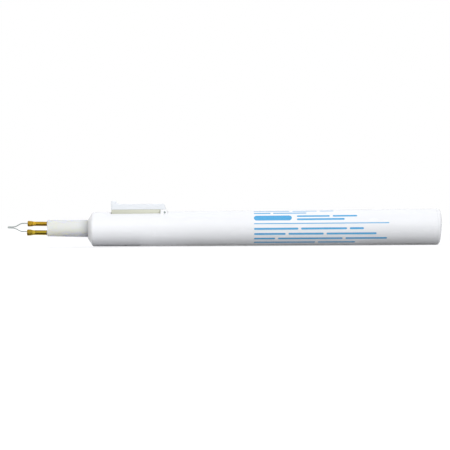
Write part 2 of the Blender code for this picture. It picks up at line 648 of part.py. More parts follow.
def build_contacts(pen, looks):
    """The leaf's rivet and the stud that the leaf meets."""
    seat = LEAF_FOOT_HEIGHT + LEAF_THICKNESS + BORE_GAP
    rivet = headed_shape(RIVET_HEAD_RADIUS, RIVET_HEAD_HEIGHT, STUD_SHANK_RADIUS, seat - CARRIER_TOP + RIVET_DEPTH)
    solid("leaf_rivet", rivet, pen, (RIVET_X, 0, seat), looks["brass"])

    stud_seat = CARRIER_TOP + BORE_GAP
    shank = stud_seat + STRIP_INNER_RADIUS - SEAT_GAP
    stud = headed_shape(STUD_HEAD_RADIUS, STUD_TOP - stud_seat, STUD_SHANK_RADIUS, shank)
    solid("fixed_contact", stud, pen, (RIB_X, 0, stud_seat), looks["brass"])


def build_return_strip(pen, looks):
    """The curved strip along the bottom of the bore."""
    start = RIB_X - STUD_HEAD_RADIUS
    end = SPRING_PLATE_X - REST_GAP
    shape = bmesh.new()
    steps = 6
    angles = [STRIP_HALF_ANGLE * (2 * step / steps - 1) for step in range(steps + 1)]
    section = [(STRIP_OUTER_RADIUS, angle) for angle in angles]
    section += [(STRIP_INNER_RADIUS, angle) for angle in reversed(angles)]
    points = [shape.verts.new((start, radius * math.sin(angle), -radius * math.cos(angle)))
              for radius, angle in section]
    face = shape.faces.new(points)
    grown = bmesh.ops.extrude_face_region(shape, geom=[face])
    moved = [item for item in grown["geom"] if isinstance(item, bmesh.types.BMVert)]
    bmesh.ops.translate(shape, verts=moved, vec=(end - start, 0, 0))
    solid("return_strip", shape, pen, material=looks["nickel"])


def build_leads(pen, looks):
    """Insulated leads from the contacts to the inner ends of the brass tubes."""
    tube_end = SHAFT_INNER_LENGTH + ELECTRODE_INNER_REACH
    height = ELECTRODE_SPACING / 2
    lift = TIP_LIFT - tube_end * math.tan(TIP_TILT)
    positive = [(tube_end + SEAT_GAP, 0, lift + height),
                (tube_end + 2 * MM, 0.9 * MM, lift + height),
                (tube_end + 4 * MM, 3.2 * MM, LEAD_HEIGHT + 0.7 * MM),
                (tube_end + 7 * MM, LEAD_SIDE, LEAD_HEIGHT),
                (RIB_X + LEAF_SPAN, LEAD_SIDE, LEAD_HEIGHT),
                (BULKHEAD_X - 4 * MM, LEAD_SIDE, LEAD_HEIGHT),
                (PLATE_X - SEAT_GAP, LEAD_SIDE, LEAD_HEIGHT)]
    round_bar("lead_positive", smooth_path(positive, 5), LEAD_RADIUS, pen, looks["lead"])

    foot_side = LEAF_WIDTH / 2 + SEAT_GAP + LEAD_RADIUS
    switch = [(tube_end + SEAT_GAP, 0, lift - height),
              (tube_end + 1.4 * MM, -0.6 * MM, lift - height + 0.7 * MM),
              (tube_end + 2.4 * MM, -1.9 * MM, LEAD_HEIGHT - 0.3 * MM),
              (tube_end + 5 * MM, -LEAD_SIDE, LEAD_HEIGHT),
              (RIB_X + LEAF_SPAN * 0.5, -LEAD_SIDE, LEAD_HEIGHT - 0.5 * MM),
              (RIVET_X - LEAF_FOOT_LENGTH / 4, -foot_side, CARRIER_TOP + LEAD_RADIUS + SEAT_GAP),
              (RIVET_X + LEAF_FOOT_LENGTH / 4, -foot_side, CARRIER_TOP + LEAD_RADIUS + SEAT_GAP)]
    round_bar("lead_switch", smooth_path(switch, 5), LEAD_RADIUS, pen, looks["lead"])


def build_bulkhead(pen, looks):
    """The wall in front of the cells and the contact plate on it."""
    shape = cylinder_shape(CARRIER_RADIUS, BULKHEAD_THICKNESS, BARREL_SIDES)
    wall = solid("bulkhead", shape, pen, (BULKHEAD_X, 0, 0), looks["cream"])
    hole = cylinder_shape(LEAD_HOLE_RADIUS, 2 * BULKHEAD_THICKNESS, 16)
    cutter = solid("lead_hole", hole, pen, (BULKHEAD_X - BULKHEAD_THICKNESS / 2, LEAD_SIDE, LEAD_HEIGHT))
    combine(wall, cutter, "DIFFERENCE")
    plate = cylinder_shape(PLATE_RADIUS, PLATE_THICKNESS, CELL_SIDES)
    solid("positive_plate", plate, pen, (PLATE_X, 0, 0), looks["nickel"])


def build_cells(pen, looks):
    """Two sealed cells with their raised ends towards the tip."""
    profile = [(0, 0), (0, CELL_NUB_RADIUS), (CELL_NUB_LENGTH, CELL_NUB_RADIUS),
               (CELL_NUB_LENGTH, CELL_RADIUS - CELL_EDGE), (CELL_NUB_LENGTH + CELL_EDGE, CELL_RADIUS),
               (CELL_LENGTH - CELL_EDGE, CELL_RADIUS), (CELL_LENGTH, CELL_RADIUS - CELL_EDGE), (CELL_LENGTH, 0)]
    for name, start in (("cell_front", CELL_FRONT_X), ("cell_rear", CELL_REAR_X)):
        solid(name, turned_shape(profile, CELL_SIDES, False), pen, (start, 0, 0), looks["cell"])


def build_battery_spring(pen, looks):
    """The conical spring behind the cells and the plate that it stands on."""
    steps_per_turn = 14
    steps = SPRING_TURNS * steps_per_turn
    first = SPRING_X + SPRING_WIRE_RADIUS
    travel = SPRING_LENGTH - 2 * SPRING_WIRE_RADIUS
    path = []
    for step in range(steps + 1):
        share = step / steps
        radius = SPRING_FRONT_RADIUS + share * (SPRING_REAR_RADIUS - SPRING_FRONT_RADIUS)
        angle = math.tau * step / steps_per_turn
        path.append((first + travel * share, radius * math.cos(angle), radius * math.sin(angle)))
    round_bar("battery_spring", path, SPRING_WIRE_RADIUS, pen, looks["nickel"])
    plate = cylinder_shape(SPRING_PLATE_RADIUS, PLATE_THICKNESS, CELL_SIDES)
    solid("spring_plate", plate, pen, (SPRING_PLATE_X, 0, 0), looks["nickel"])


def main():
    """Build the whole pen."""
    clear_scene()
    looks = finishes()
    pen = empty("pen_frame", (NOSE_X, 0, AXIS_Z))
    tip = empty("tip_frame", (0, 0, TIP_LIFT), pen, (0, TIP_TILT, 0))
    pivot = empty("button_pivot", (PIN_X, 0, PIN_HEIGHT), pen)
    build_barrel(pen, looks)
    build_end_cap(pen, looks)
    build_shaft(tip, looks)
    build_electrodes(tip, looks)
    build_heater_wire(tip, looks)
    build_button_cap(pivot, looks)
    build_button_lever(pivot, looks)
    build_hinge_pin(pen, looks)
    build_switch_carrier(pen, tip, looks)
    build_contact_leaf(pen, looks)
    build_contacts(pen, looks)
    build_return_strip(pen, looks)
    build_leads(pen, looks)
    build_bulkhead(pen, looks)
    build_cells(pen, looks)
    build_battery_spring(pen, looks)


main()
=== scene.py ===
"""Looks of a battery cautery pen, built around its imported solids.

Everything is in metres and in the frame of the solids: the pen lies along X with its
tip towards -X and its button on top. Inside the classes, places along the pen are
measured from the front face of the nose towards the rear, and heights from the
barrel's axis.
"""

import json
import logging
import math
from dataclasses import dataclass, field
from enum import Enum
from typing import Callable, Iterable, Sequence

import bmesh
import bpy
from mathutils import Matrix, Vector

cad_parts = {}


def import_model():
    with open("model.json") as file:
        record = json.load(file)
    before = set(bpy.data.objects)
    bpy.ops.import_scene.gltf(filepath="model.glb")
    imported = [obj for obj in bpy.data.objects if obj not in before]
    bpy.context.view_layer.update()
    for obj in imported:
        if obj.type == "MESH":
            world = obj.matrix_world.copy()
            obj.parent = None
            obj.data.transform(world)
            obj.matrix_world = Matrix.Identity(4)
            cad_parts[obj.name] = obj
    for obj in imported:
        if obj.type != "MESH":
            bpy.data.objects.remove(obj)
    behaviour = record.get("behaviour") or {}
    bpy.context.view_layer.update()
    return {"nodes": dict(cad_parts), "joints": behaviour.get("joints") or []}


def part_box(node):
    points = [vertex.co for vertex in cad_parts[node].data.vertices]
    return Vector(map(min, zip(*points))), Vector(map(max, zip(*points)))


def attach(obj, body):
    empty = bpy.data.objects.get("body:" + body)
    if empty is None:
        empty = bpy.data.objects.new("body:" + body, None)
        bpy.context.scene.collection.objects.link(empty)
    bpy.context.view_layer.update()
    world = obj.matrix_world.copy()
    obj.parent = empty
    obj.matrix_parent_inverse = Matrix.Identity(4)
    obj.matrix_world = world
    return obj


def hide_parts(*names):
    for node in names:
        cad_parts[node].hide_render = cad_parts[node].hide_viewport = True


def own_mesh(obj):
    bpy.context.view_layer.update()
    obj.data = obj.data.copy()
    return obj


MM = 0.001
LOG = logging.getLogger("cautery_pen")

Point = tuple[float, float]
Triple = tuple[float, float, float]
Colour = tuple[float, float, float]
Mesh = bpy.types.Mesh
Socket = bpy.types.NodeSocket
Value = float | int | bool | str | Sequence[float] | Socket | bpy.types.ID

# Points that are closer than these count as one
POLE_GAP = 0.5e-6
DOUBLE_GAP = 0.2e-6

# Edges of tubes, wires and leads that turn by more degrees than this look sharp
ROUND_CREASE = 50.0


class Body(Enum):
    """The two bodies of the frame that pieces ride on."""

    PEN = "body"
    BUTTON = "button"


class Slot(Enum):
    """The record's material slots."""

    WHITE = "white_moulding"
    BUTTON = "button_white"
    CREAM = "cream_moulding"
    BRASS = "crimped_brass"
    BRONZE = "contact_bronze"
    PLATED = "plated_contact"
    PIN = "pin_steel"
    HEATER = "heater_alloy"
    CELL = "cell_wrap"
    LEAD = "lead_insulation"


class Cut(Enum):
    """What one shape does to another."""

    JOIN = "UNION"
    REMOVE = "DIFFERENCE"


class Sketch:
    """A node tree that is drawn node by node."""

    def __init__(self, tree: bpy.types.NodeTree) -> None:
        """Draw in the given tree.

        Args:
            tree: the tree that receives the nodes.
        """
        self.tree = tree

    def feed(self, socket: Socket, value: Value) -> None:
        """Link a socket to another one, or set its value.

        Args:
            socket: the input to fill.
            value: an output socket, or a plain value.
        """
        if isinstance(value, Socket):
            self.tree.links.new(value, socket)
        else:
            socket.default_value = value

    def add(self, kind: str, inputs: dict[str | int, Value] | None = None,
            **options: Value) -> bpy.types.Node:
        """Add a node.

        Args:
            kind: the node's type name.
            inputs: what to feed its inputs with, by name or number.
            options: the node's own settings.

        Returns:
            The new node.
        """
        node = self.tree.nodes.new(kind)
        for name, value in options.items():
            setattr(node, name, value)
        for name, value in (inputs or {}).items():
            self.feed(node.inputs[name], value)
        return node

    def first(self, kind: str, inputs: dict[str | int, Value] | None = None, **options: Value) -> Socket:
        """Add a node and take its first output."""
        return self.add(kind, inputs, **options).outputs[0]

    def math(self, operation: str, *values: Value) -> Socket:
        """Add a math node.

        Args:
            operation: the name of the operation.
            values: one to three numbers or sockets.

        Returns:
            The socket with the result.
        """
        return self.first("ShaderNodeMath", dict(enumerate(values)), operation=operation)

    def seen(self) -> Socket:
        """Tell what is seen, also in gloss and through glass, from what only gives light.

        Returns:
            The socket with 1 for a ray that sees and 0 for any other.
        """
        path = self.add("ShaderNodeLightPath").outputs
        direct = self.math("MAXIMUM", path["Is Camera Ray"], path["Is Glossy Ray"])
        return self.math("MAXIMUM", direct, path["Is Transmission Ray"])

    def remap(self, value: Value, source: Point, target: Point = (0.0, 1.0)) -> Socket:
        """Map a range of values to another one, and hold it at the ends.

        Args:
            value: the socket to map.
            source: lowest and highest value going in.
            target: the values that these become.

        Returns:
            The socket with the result.
        """
        inputs = {"Value": value, "From Min": source[0], "From Max": source[1],
                  "To Min": target[0], "To Max": target[1]}
        return self.add("ShaderNodeMapRange", inputs).outputs["Result"]


class ShaderSketch(Sketch):
    """A node material that is drawn node by node."""

    def __init__(self, name: str) -> None:
        """Start a material.

        Args:
            name: the material's name.
        """
        self.material = bpy.data.materials.new(name)
        self.material.use_nodes = True
        super().__init__(self.material.node_tree)
        self.shader = self.tree.nodes["Principled BSDF"]

    def millimetres(self, stretch: Sequence[float] = (1.0, 1.0, 1.0)) -> Socket:
        """Places on the piece in millimetres, with each axis stretched by a factor.

        Args:
            stretch: the factor of each axis.

        Returns:
            The socket with the places.
        """
        place = self.add("ShaderNodeTexCoord").outputs["Object"]
        scale = tuple(1000.0 / factor for factor in stretch)
        return self.add("ShaderNodeMapping", {"Vector": place, "Scale": scale}).outputs["Vector"]

    def axes(self) -> bpy.types.NodeOutputs:
        """The outputs X, Y and Z of a place on the piece, in millimetres."""
        return self.add("ShaderNodeSeparateXYZ", {"Vector": self.millimetres()}).outputs

    def noise(self, place: Socket, size: float, detail: float = 2.0) -> Socket:
        """Soft noise.

        Args:
            place: the coordinates in millimetres.
            size: the size of one cloud in millimetres.
            detail: how many finer layers it has.

        Returns:
            A socket with values about 0.5.
        """
        inputs = {"Vector": place, "Scale": 1.0 / size, "Detail": detail}
        return self.add("ShaderNodeTexNoise", inputs).outputs["Fac"]

    def blend(self, share: Value, first: Value, second: Value) -> Socket:
        """Mix two colours.

        Args:
            share: how much there is of the second colour.
            first: the first colour or a socket with it.
            second: the second colour or a socket with it.

        Returns:
            The socket with the mixed colour.
        """
        node = self.add("ShaderNodeMix", data_type="RGBA")
        self.feed(node.inputs["Factor"], share)
        for socket, colour in ((node.inputs[6], first), (node.inputs[7], second)):
            self.feed(socket, colour if isinstance(colour, Socket) else (*colour, 1.0))
        return node.outputs[2]

    def bump(self, height: Socket, depth: float, below: Socket | None = None) -> Socket:
        """Raise the surface by a height map.

        Args:
            height: the height map, from 0 to 1.
            depth: how deep it is, in metres.
            below: a normal that it lies on.

        Returns:
            The socket with the new normal.
        """
        inputs: dict[str | int, Value] = {"Height": height, "Distance": depth, "Strength": 1.0}
        if below is not None:
            inputs["Normal"] = below
        return self.add("ShaderNodeBump", inputs).outputs["Normal"]

    def dress(self, **inputs: Value) -> None:
        """Fill inputs of the surface shader, with spaces in their names as underscores."""
        for name, value in inputs.items():
            self.feed(self.shader.inputs[name.replace("_", " ")], value)


@dataclass(frozen=True)
class Finish:
    """What all the finishes share: a slot, a colour, a gloss, and a batch where a slot has several."""

    slot: Slot
    colour: Colour
    roughness: float
    batch: str = ""

    def draw(self, sketch: ShaderSketch) -> None:
        """Draw the finish. Each kind of finish has its own way."""
        raise NotImplementedError

    def material(self) -> bpy.types.Material:
        """The material of this finish, which is drawn the first time it is asked for.

        Returns:
            The material.
        """
        known = bpy.data.materials.get(self.label())
        if known is not None:
            return known
        sketch = ShaderSketch(self.label())
        self.draw(sketch)
        sketch.material.diffuse_color = (*self.colour, 1.0)
        return sketch.material

    def label(self) -> str:
        """Name of the material."""
        return "finish_" + self.slot.value + ("_" + self.batch if self.batch else "")


@dataclass(frozen=True)
class Moulding(Finish):
    """Injection moulded plastic with a fine spark grain and faint flow clouds.

    It can carry painted shade along X: its tone darkens from one place to another, down to a share of its
    brightness, as where the shaft and the nose keep the light from each other.
    """

    cloud: Colour = (0.80, 0.81, 0.83)
    cloud_size: float = 26.0
    shine: float = 0.4
    grain_size: float = 0.16
    grain_depth: float = 0.0000035
    wave_depth: float = 0.00002
    polish: float = 0.05
    # painted shade: where it starts, where it is darkest, and the share of brightness kept there
    painted_shade: Triple = (0.0, 1.0, 1.0)
    depth_share: float = 0.0
    depth_colour: Colour = (1.0, 0.95, 0.45)
    depth_reach: float = 1.5 * MM

    def base_colour(self, sketch: ShaderSketch) -> Socket:
        """Colour of the plastic with its faint clouds and its painted shade along X.

        Args:
            sketch: the material.

        Returns:
            The socket with the colour.
        """
        clouds = sketch.noise(sketch.millimetres((2.5, 1.0, 1.0)), self.cloud_size, 3.0)
        share = sketch.remap(clouds, (0.35, 0.75))
        plain = sketch.blend(share, self.colour, self.cloud)
        start, end, painted_darkest = self.painted_shade
        if painted_darkest == 1.0:
            return plain
        # painted shade: the tone darkens along X from its start to its end
        depth = sketch.remap(sketch.axes()["X"], (start, end))
        return sketch.blend(depth, plain, tuple(part * painted_darkest for part in self.colour))

    def gloss(self, sketch: ShaderSketch) -> Socket:
        """Roughness, which wanders a little where the mould was polished."""
        polish = sketch.noise(sketch.millimetres((3.0, 1.0, 1.0)), 7.0)
        return sketch.remap(polish, (0.3, 0.7), (self.roughness - self.polish, self.roughness + self.polish))

    def relief(self, sketch: ShaderSketch) -> Socket:
        """Grain of the mould on top of shallow sink waves.

        Args:
            sketch: the material.

        Returns:
            The socket with the normal.
        """
        sinks = sketch.noise(sketch.millimetres((2.0, 1.0, 1.0)), 9.0, 1.0)
        waves = sketch.bump(sinks, self.wave_depth)
        grain = sketch.noise(sketch.millimetres(), self.grain_size)
        return sketch.bump(grain, self.grain_depth, waves)

    def let_light_in(self, sketch: ShaderSketch) -> None:
        """Let light wander a little way below the surface."""
        sketch.dress(Subsurface_Weight=self.depth_share, Subsurface_Radius=self.depth_colour,
                     Subsurface_Scale=self.depth_reach)

    def draw(self, sketch: ShaderSketch) -> None:
        """Draw the plastic.

        Args:
            sketch: the material.
        """
        sketch.dress(Base_Color=self.base_colour(sketch), Roughness=self.gloss(sketch),
                     Normal=self.relief(sketch), Specular_IOR_Level=self.shine)
        self.let_light_in(sketch)


@dataclass(frozen=True)
class PrintBar:
    """One printed bar on the barrel's side, in millimetres.

    Its ends are measured along X in the frame. Its middle is measured round the
    barrel, upwards from the line half way up the side that faces -Y.
    """

    start: float
    end: float
    middle: float
    thickness: float


@dataclass(frozen=True)
class PrintedMoulding(Moulding):
    """The barrel's plastic with plain blue bars printed on one side."""

    ink: Colour = (0.075, 0.37, 0.68)
    ink_wash: Colour = (0.11, 0.42, 0.73)
    axis: float = 8.66
    radius: float = 8.5
    ink_depth: float = 0.000004
    ink_gloss: float = 0.06
    edge_softness: float = 0.03
    edge_wobble: float = 0.03
    bars: tuple[PrintBar, ...] = ()

    def bar_group(self) -> bpy.types.NodeTree:
        """A group that is 1 on a bar with round ends and 0 off it.

        Returns:
            The node group.
        """
        group = bpy.data.node_groups.new("printed_bar", "ShaderNodeTree")
        names = ("Along", "Around", "Start", "End", "Middle", "Thickness")
        for name in names:
            group.interface.new_socket(name, in_out="INPUT", socket_type="NodeSocketFloat")
        group.interface.new_socket("Ink", in_out="OUTPUT", socket_type="NodeSocketFloat")
        sketch = Sketch(group)
        given = sketch.add("NodeGroupInput").outputs
        half = sketch.math("MULTIPLY", given["Thickness"], 0.5)
        low = sketch.math("ADD", given["Start"], half)
        high = sketch.math("SUBTRACT", given["End"], half)
        nearest = sketch.math("MINIMUM", sketch.math("MAXIMUM", given["Along"], low), high)
        off_along = sketch.math("SUBTRACT", given["Along"], nearest)
        off_around = sketch.math("SUBTRACT", given["Around"], given["Middle"])
        squares = sketch.math("ADD", sketch.math("MULTIPLY", off_along, off_along),
                              sketch.math("MULTIPLY", off_around, off_around))
        distance = sketch.math("SUBTRACT", sketch.math("SQRT", squares), half)
        ink = sketch.remap(distance, (-self.edge_softness, self.edge_softness), (1.0, 0.0))
        sketch.add("NodeGroupOutput", {"Ink": ink})
        return group

    def ink_cover(self, sketch: ShaderSketch) -> Socket:
        """How much ink lies on each place.

        Args:
            sketch: the material.

        Returns:
            The socket with the cover, from 0 to 1.
        """
        place = sketch.axes()
        height = sketch.math("SUBTRACT", place["Z"], self.axis)
        outwards = sketch.math("MULTIPLY", place["Y"], -1.0)
        around = sketch.math("MULTIPLY", sketch.math("ARCTAN2", height, outwards), self.radius)
        rough_edge = sketch.noise(sketch.millimetres(), 0.25)
        wobble = sketch.remap(rough_edge, (0.3, 0.7), (-self.edge_wobble, self.edge_wobble))
        around = sketch.math("ADD", around, wobble)
        group = self.bar_group()
        cover: Value = 0.0
        for bar in self.bars:
            values = {"Along": place["X"], "Around": around, "Start": bar.start, "End": bar.end,
                      "Middle": bar.middle, "Thickness": bar.thickness}
            ink = sketch.first("ShaderNodeGroup", values, node_tree=group)
            cover = sketch.math("MAXIMUM", cover, ink)
        return cover

    def draw(self, sketch: ShaderSketch) -> None:
        """Draw the plastic and the ink on it.

        Args:
            sketch: the material.
        """
        cover = self.ink_cover(sketch)
        speckle = sketch.noise(sketch.millimetres(), 0.5, 3.0)
        ink = sketch.blend(sketch.remap(speckle, (0.35, 0.65)), self.ink, self.ink_wash)
        colour = sketch.blend(cover, self.base_colour(sketch), ink)
        gloss = sketch.math("SUBTRACT", self.gloss(sketch), sketch.math("MULTIPLY", cover, self.ink_gloss))
        raised = sketch.bump(cover, self.ink_depth, self.relief(sketch))
        sketch.dress(Base_Color=colour, Roughness=gloss, Normal=raised, Specular_IOR_Level=self.shine)
        self.let_light_in(sketch)


@dataclass(frozen=True)
class DrawnMetal(Finish):
    """Drawn or rolled metal with fine lines along X and a faint tarnish."""

    tarnish: Colour = (0.3, 0.2, 0.1)
    tarnish_share: float = 0.4
    line_size: float = 0.05
    line_depth: float = 0.000003
    pit_size: float = 0.12
    pit_depth: float = 0.000004
    patch_size: float = 1.6

    def draw(self, sketch: ShaderSketch) -> None:
        """Draw the metal.

        Args:
            sketch: the material.
        """
        patches = sketch.noise(sketch.millimetres(), self.patch_size, 4.0)
        share = sketch.remap(patches, (0.42, 0.72), (0.0, self.tarnish_share))
        lines = sketch.noise(sketch.millimetres((30.0, 1.0, 1.0)), self.line_size, 1.0)
        pits = sketch.noise(sketch.millimetres(), self.pit_size)
        gloss = sketch.remap(patches, (0.35, 0.7), (self.roughness - 0.05, self.roughness + 0.12))
        relief = sketch.bump(pits, self.pit_depth, sketch.bump(lines, self.line_depth))
        sketch.dress(Base_Color=sketch.blend(share, self.colour, self.tarnish), Metallic=1.0,
                     Roughness=gloss, Normal=relief)


@dataclass(frozen=True)
class HeatedMetal(DrawnMetal):
    """Metal with a tint that grows towards the hot tip, from one place along X to another.

    It is brown on the mouths of the brass tubes, and paler towards the wire's tip.
    """

    cool: float = -92.6
    hot: float = -94.3
    tint: Colour = (0.34, 0.205, 0.022)
    tint_share: float = 0.85

    def draw(self, sketch: ShaderSketch) -> None:
        """Draw the metal and its tint.

        Args:
            sketch: the material.
        """
        super().draw(sketch)
        heat = sketch.remap(sketch.axes()["X"], (self.cool, self.hot), (0.0, self.tint_share))
        metal = sketch.shader.inputs["Base Color"].links[0].from_socket
        sketch.dress(Base_Color=sketch.blend(heat, metal, self.tint))


@dataclass(frozen=True)
class CellWrap(Finish):
    """Shrink sleeve of a cell: a dark sleeve with one pale band and bare metal ends."""

    band: Colour = (0.42, 0.45, 0.48)
    metal: Colour = (0.60, 0.60, 0.58)
    band_start: float = 6.0
    band_end: float = 9.0
    starts: tuple[float, ...] = ()
    length: float = 50.0
    nub: float = 1.9
    rim: float = 0.4
    scuff_share: float = 0.25

    def draw(self, sketch: ShaderSketch) -> None:
        """Draw the sleeve of every cell in the row.

        Args:
            sketch: the material.
        """
        along = sketch.axes()["X"]
        band: Value = 0.0
        bare: Value = 1.0
        for start in self.starts:
            inside = sketch.math("COMPARE", along, start + (self.band_start + self.band_end) / 2,
                                 (self.band_end - self.band_start) / 2)
            band = sketch.math("MAXIMUM", band, inside)
            sleeve = sketch.math("COMPARE", along, start + (self.length + self.nub) / 2,
                                 (self.length - self.nub) / 2 - self.rim)
            bare = sketch.math("MULTIPLY", bare, sketch.math("SUBTRACT", 1.0, sleeve))
        rubbed = sketch.noise(sketch.millimetres((6.0, 1.0, 1.0)), 1.5, 4.0)
        scuffs = sketch.remap(rubbed, (0.6, 0.8), (0.0, self.scuff_share))
        sleeve_colour = sketch.blend(scuffs, sketch.blend(band, self.colour, self.band), self.band)
        gloss = sketch.remap(scuffs, (0.0, self.scuff_share), (self.roughness, self.roughness + 0.2))
        colour = sketch.blend(bare, sleeve_colour, self.metal)
        sketch.dress(Base_Color=colour, Metallic=bare, Roughness=gloss)


class GeometrySketch(Sketch):
    """A geometry tree with named inputs, and the way to run it on a mesh."""

    def __init__(self, name: str, inputs: dict[str, str]) -> None:
        """Start a tree, which also gets the inputs Sharp Angle and Material.

        Args:
            name: the tree's name.
            inputs: the kind of each named input, such as Float or Int.
        """
        super().__init__(bpy.data.node_groups.new(name, "GeometryNodeTree"))
        face = self.tree.interface
        face.new_socket("Shape", in_out="INPUT", socket_type="NodeSocketGeometry")
        self.identifiers = {}
        for label, kind in {**inputs, "Sharp Angle": "Float", "Material": "Material"}.items():
            socket = face.new_socket(label, in_out="INPUT", socket_type="NodeSocket" + kind)
            self.identifiers[label] = socket.identifier
        face.new_socket("Shape", in_out="OUTPUT", socket_type="NodeSocketGeometry")
        self.given = self.add("NodeGroupInput").outputs

    def circle(self, radius: str) -> Socket:
        """A circle with as many sides as the input Sides says, whose radius is the named input."""
        return self.first("GeometryNodeCurvePrimitiveCircle",
                          {"Resolution": self.given["Sides"], "Radius": self.given[radius]})

    def wire(self, path: Socket) -> Socket:
        """A closed round wire along a path, as thick as the input Wire Radius says."""
        return self.first("GeometryNodeCurveToMesh",
                          {"Curve": path, "Profile Curve": self.circle("Wire Radius"), "Fill Caps": True})

    def laid(self, shape: Socket) -> Socket:
        """A shape that stands along Z, laid along X."""
        return self.first("GeometryNodeTransform", {"Geometry": shape, "Rotation": (0.0, math.pi / 2, 0.0)})

    def close(self, shape: Socket) -> None:
        """End the tree: merge the poles, shade, make the result real and give it its material.

        Args:
            shape: the socket with the finished shape.
        """
        merged = self.first("GeometryNodeMergeByDistance", {"Geometry": shape, "Distance": POLE_GAP})
        smooth = self.first("GeometryNodeSetShadeSmooth", {"Geometry": merged})
        bend = self.add("GeometryNodeInputMeshEdgeAngle").outputs["Unsigned Angle"]
        crease = self.first("FunctionNodeCompare", {0: bend, 1: self.given["Sharp Angle"]})
        sharp = self.first("GeometryNodeSetShadeSmooth",
                           {"Geometry": smooth, "Selection": crease, "Shade Smooth": False}, domain="EDGE")
        real = self.first("GeometryNodeRealizeInstances", {"Geometry": sharp})
        finish = {"Geometry": real, "Material": self.given["Material"]}
        self.add("NodeGroupOutput", {"Shape": self.first("GeometryNodeSetMaterial", finish)})

    def run(self, points: Sequence[Sequence[float]], closed: bool, values: dict[str, Value],
            finish: Finish, sharp: float = ROUND_CREASE) -> Mesh:
        """Run the tree on a line of points.

        Args:
            points: the line's points.
            closed: whether the last point is joined to the first.
            values: what the tree's own inputs get.
            finish: what it is made of.
            sharp: edges that turn by more than this look sharp, in degrees.

        Returns:
            The plain mesh that the tree makes.
        """
        edges = [(index, index + 1) for index in range(len(points) - 1)]
        if closed:
            edges.append((len(points) - 1, 0))
        line = bpy.data.meshes.new("line")
        line.from_pydata([tuple(point) for point in points], edges, [])
        carrier = linked("line", line)
        modifier = carrier.modifiers.new(self.tree.name, "NODES")
        modifier.node_group = self.tree
        given = {**values, "Sharp Angle": math.radians(sharp), "Material": finish.material()}
        for label, value in given.items():
            modifier[self.identifiers[label]] = value
        return settled(carrier)


def turning_tree() -> GeometrySketch:
    """Tree that turns a profile round the X axis.

    Returns:
        The tree.
    """
    sketch = GeometrySketch("turning", {"Sides": "Int", "Guide Radius": "Float"})
    profile = sketch.first("GeometryNodeMeshToCurve", {"Mesh": sketch.given["Shape"]})
    skin = sketch.first("GeometryNodeCurveToMesh",
                        {"Curve": sketch.circle("Guide Radius"), "Profile Curve": profile})
    sketch.close(sketch.laid(skin))
    return sketch


def sweeping_tree() -> GeometrySketch:
    """Tree that runs a round wire along a smooth path.

    Returns:
        The tree.
    """
    sketch = GeometrySketch("sweeping", {"Wire Radius": "Float", "Spacing": "Float", "Sides": "Int"})
    path = sketch.first("GeometryNodeMeshToCurve", {"Mesh": sketch.given["Shape"]})
    smooth = sketch.first("GeometryNodeCurveSplineType", {"Curve": path}, spline_type="CATMULL_ROM")
    even = sketch.first("GeometryNodeResampleCurve",
                        {"Curve": smooth, "Length": sketch.given["Spacing"]}, mode="LENGTH")
    sketch.close(sketch.wire(even))
    return sketch


def coiling_tree() -> GeometrySketch:
    """Tree that winds a conical spring along X whose end turns lie flat.

    Returns:
        The tree.
    """
    sketch = GeometrySketch("coiling", {"Turns": "Float", "Front Radius": "Float", "Rear Radius": "Float",
                                        "Length": "Float", "Wire Radius": "Float", "Steps per Turn": "Int",
                                        "Sides": "Int"})
    given = sketch.given
    spiral = sketch.first("GeometryNodeCurveSpiral",
                          {"Resolution": given["Steps per Turn"], "Rotations": given["Turns"],
                           "Start Radius": given["Front Radius"], "End Radius": given["Rear Radius"],
                           "Height": given["Length"]})
    along = sketch.add("GeometryNodeSplineParameter").outputs["Factor"]
    turn = sketch.math("MULTIPLY", along, given["Turns"])
    pitch = sketch.math("MULTIPLY", given["Wire Radius"], 2.0)
    first = sketch.math("MINIMUM", turn, 1.0)
    past_last = sketch.math("ADD", sketch.math("SUBTRACT", turn, given["Turns"]), 1.0)
    last = sketch.math("MAXIMUM", past_last, 0.0)
    flat = sketch.math("MULTIPLY", pitch, sketch.math("ADD", first, last))
    open_turns = sketch.math("SUBTRACT", given["Turns"], 2.0)
    open_share = sketch.math("DIVIDE", sketch.math("SUBTRACT", turn, 1.0), open_turns)
    open_part = sketch.math("MINIMUM", sketch.math("MAXIMUM", open_share, 0.0), 1.0)
    open_length = sketch.math("SUBTRACT", given["Length"], sketch.math("MULTIPLY", pitch, 2.0))
    rise = sketch.math("MULTIPLY", open_part, open_length)
    place = sketch.add("ShaderNodeSeparateXYZ", {0: sketch.first("GeometryNodeInputPosition")}).outputs
    eased = sketch.first("ShaderNodeCombineXYZ",
                         {"X": place["X"], "Y": place["Y"], "Z": sketch.math("ADD", flat, rise)})
    wound = sketch.first("GeometryNodeSetPosition", {"Geometry": spiral, "Position": eased})
    sketch.close(sketch.laid(sketch.wire(wound)))
    return sketch


def linked(name: str, data: bpy.types.ID) -> bpy.types.Object:
    """A new object in the scene.

    Args:
        name: the object's name.
        data: its mesh, lamp or camera.

    Returns:
        The object.
    """
    item = bpy.data.objects.new(name, data)
    bpy.context.scene.collection.objects.link(item)
    return item


def discard(item: bpy.types.Object) -> None:
    """Remove an object and its mesh.

    Args:
        item: the object.
    """
    mesh = item.data
    bpy.data.objects.remove(item)
    bpy.data.meshes.remove(mesh)


def settled(item: bpy.types.Object) -> Mesh:
    """The plain mesh that an object's modifiers make. The object is used up.

    Args:
        item: the object with its modifiers.

    Returns:
        The new mesh.
    """
    bpy.context.view_layer.update()
    evaluated = item.evaluated_get(bpy.context.evaluated_depsgraph_get())
    made = bpy.data.meshes.new_from_object(evaluated)
    discard(item)
    return made


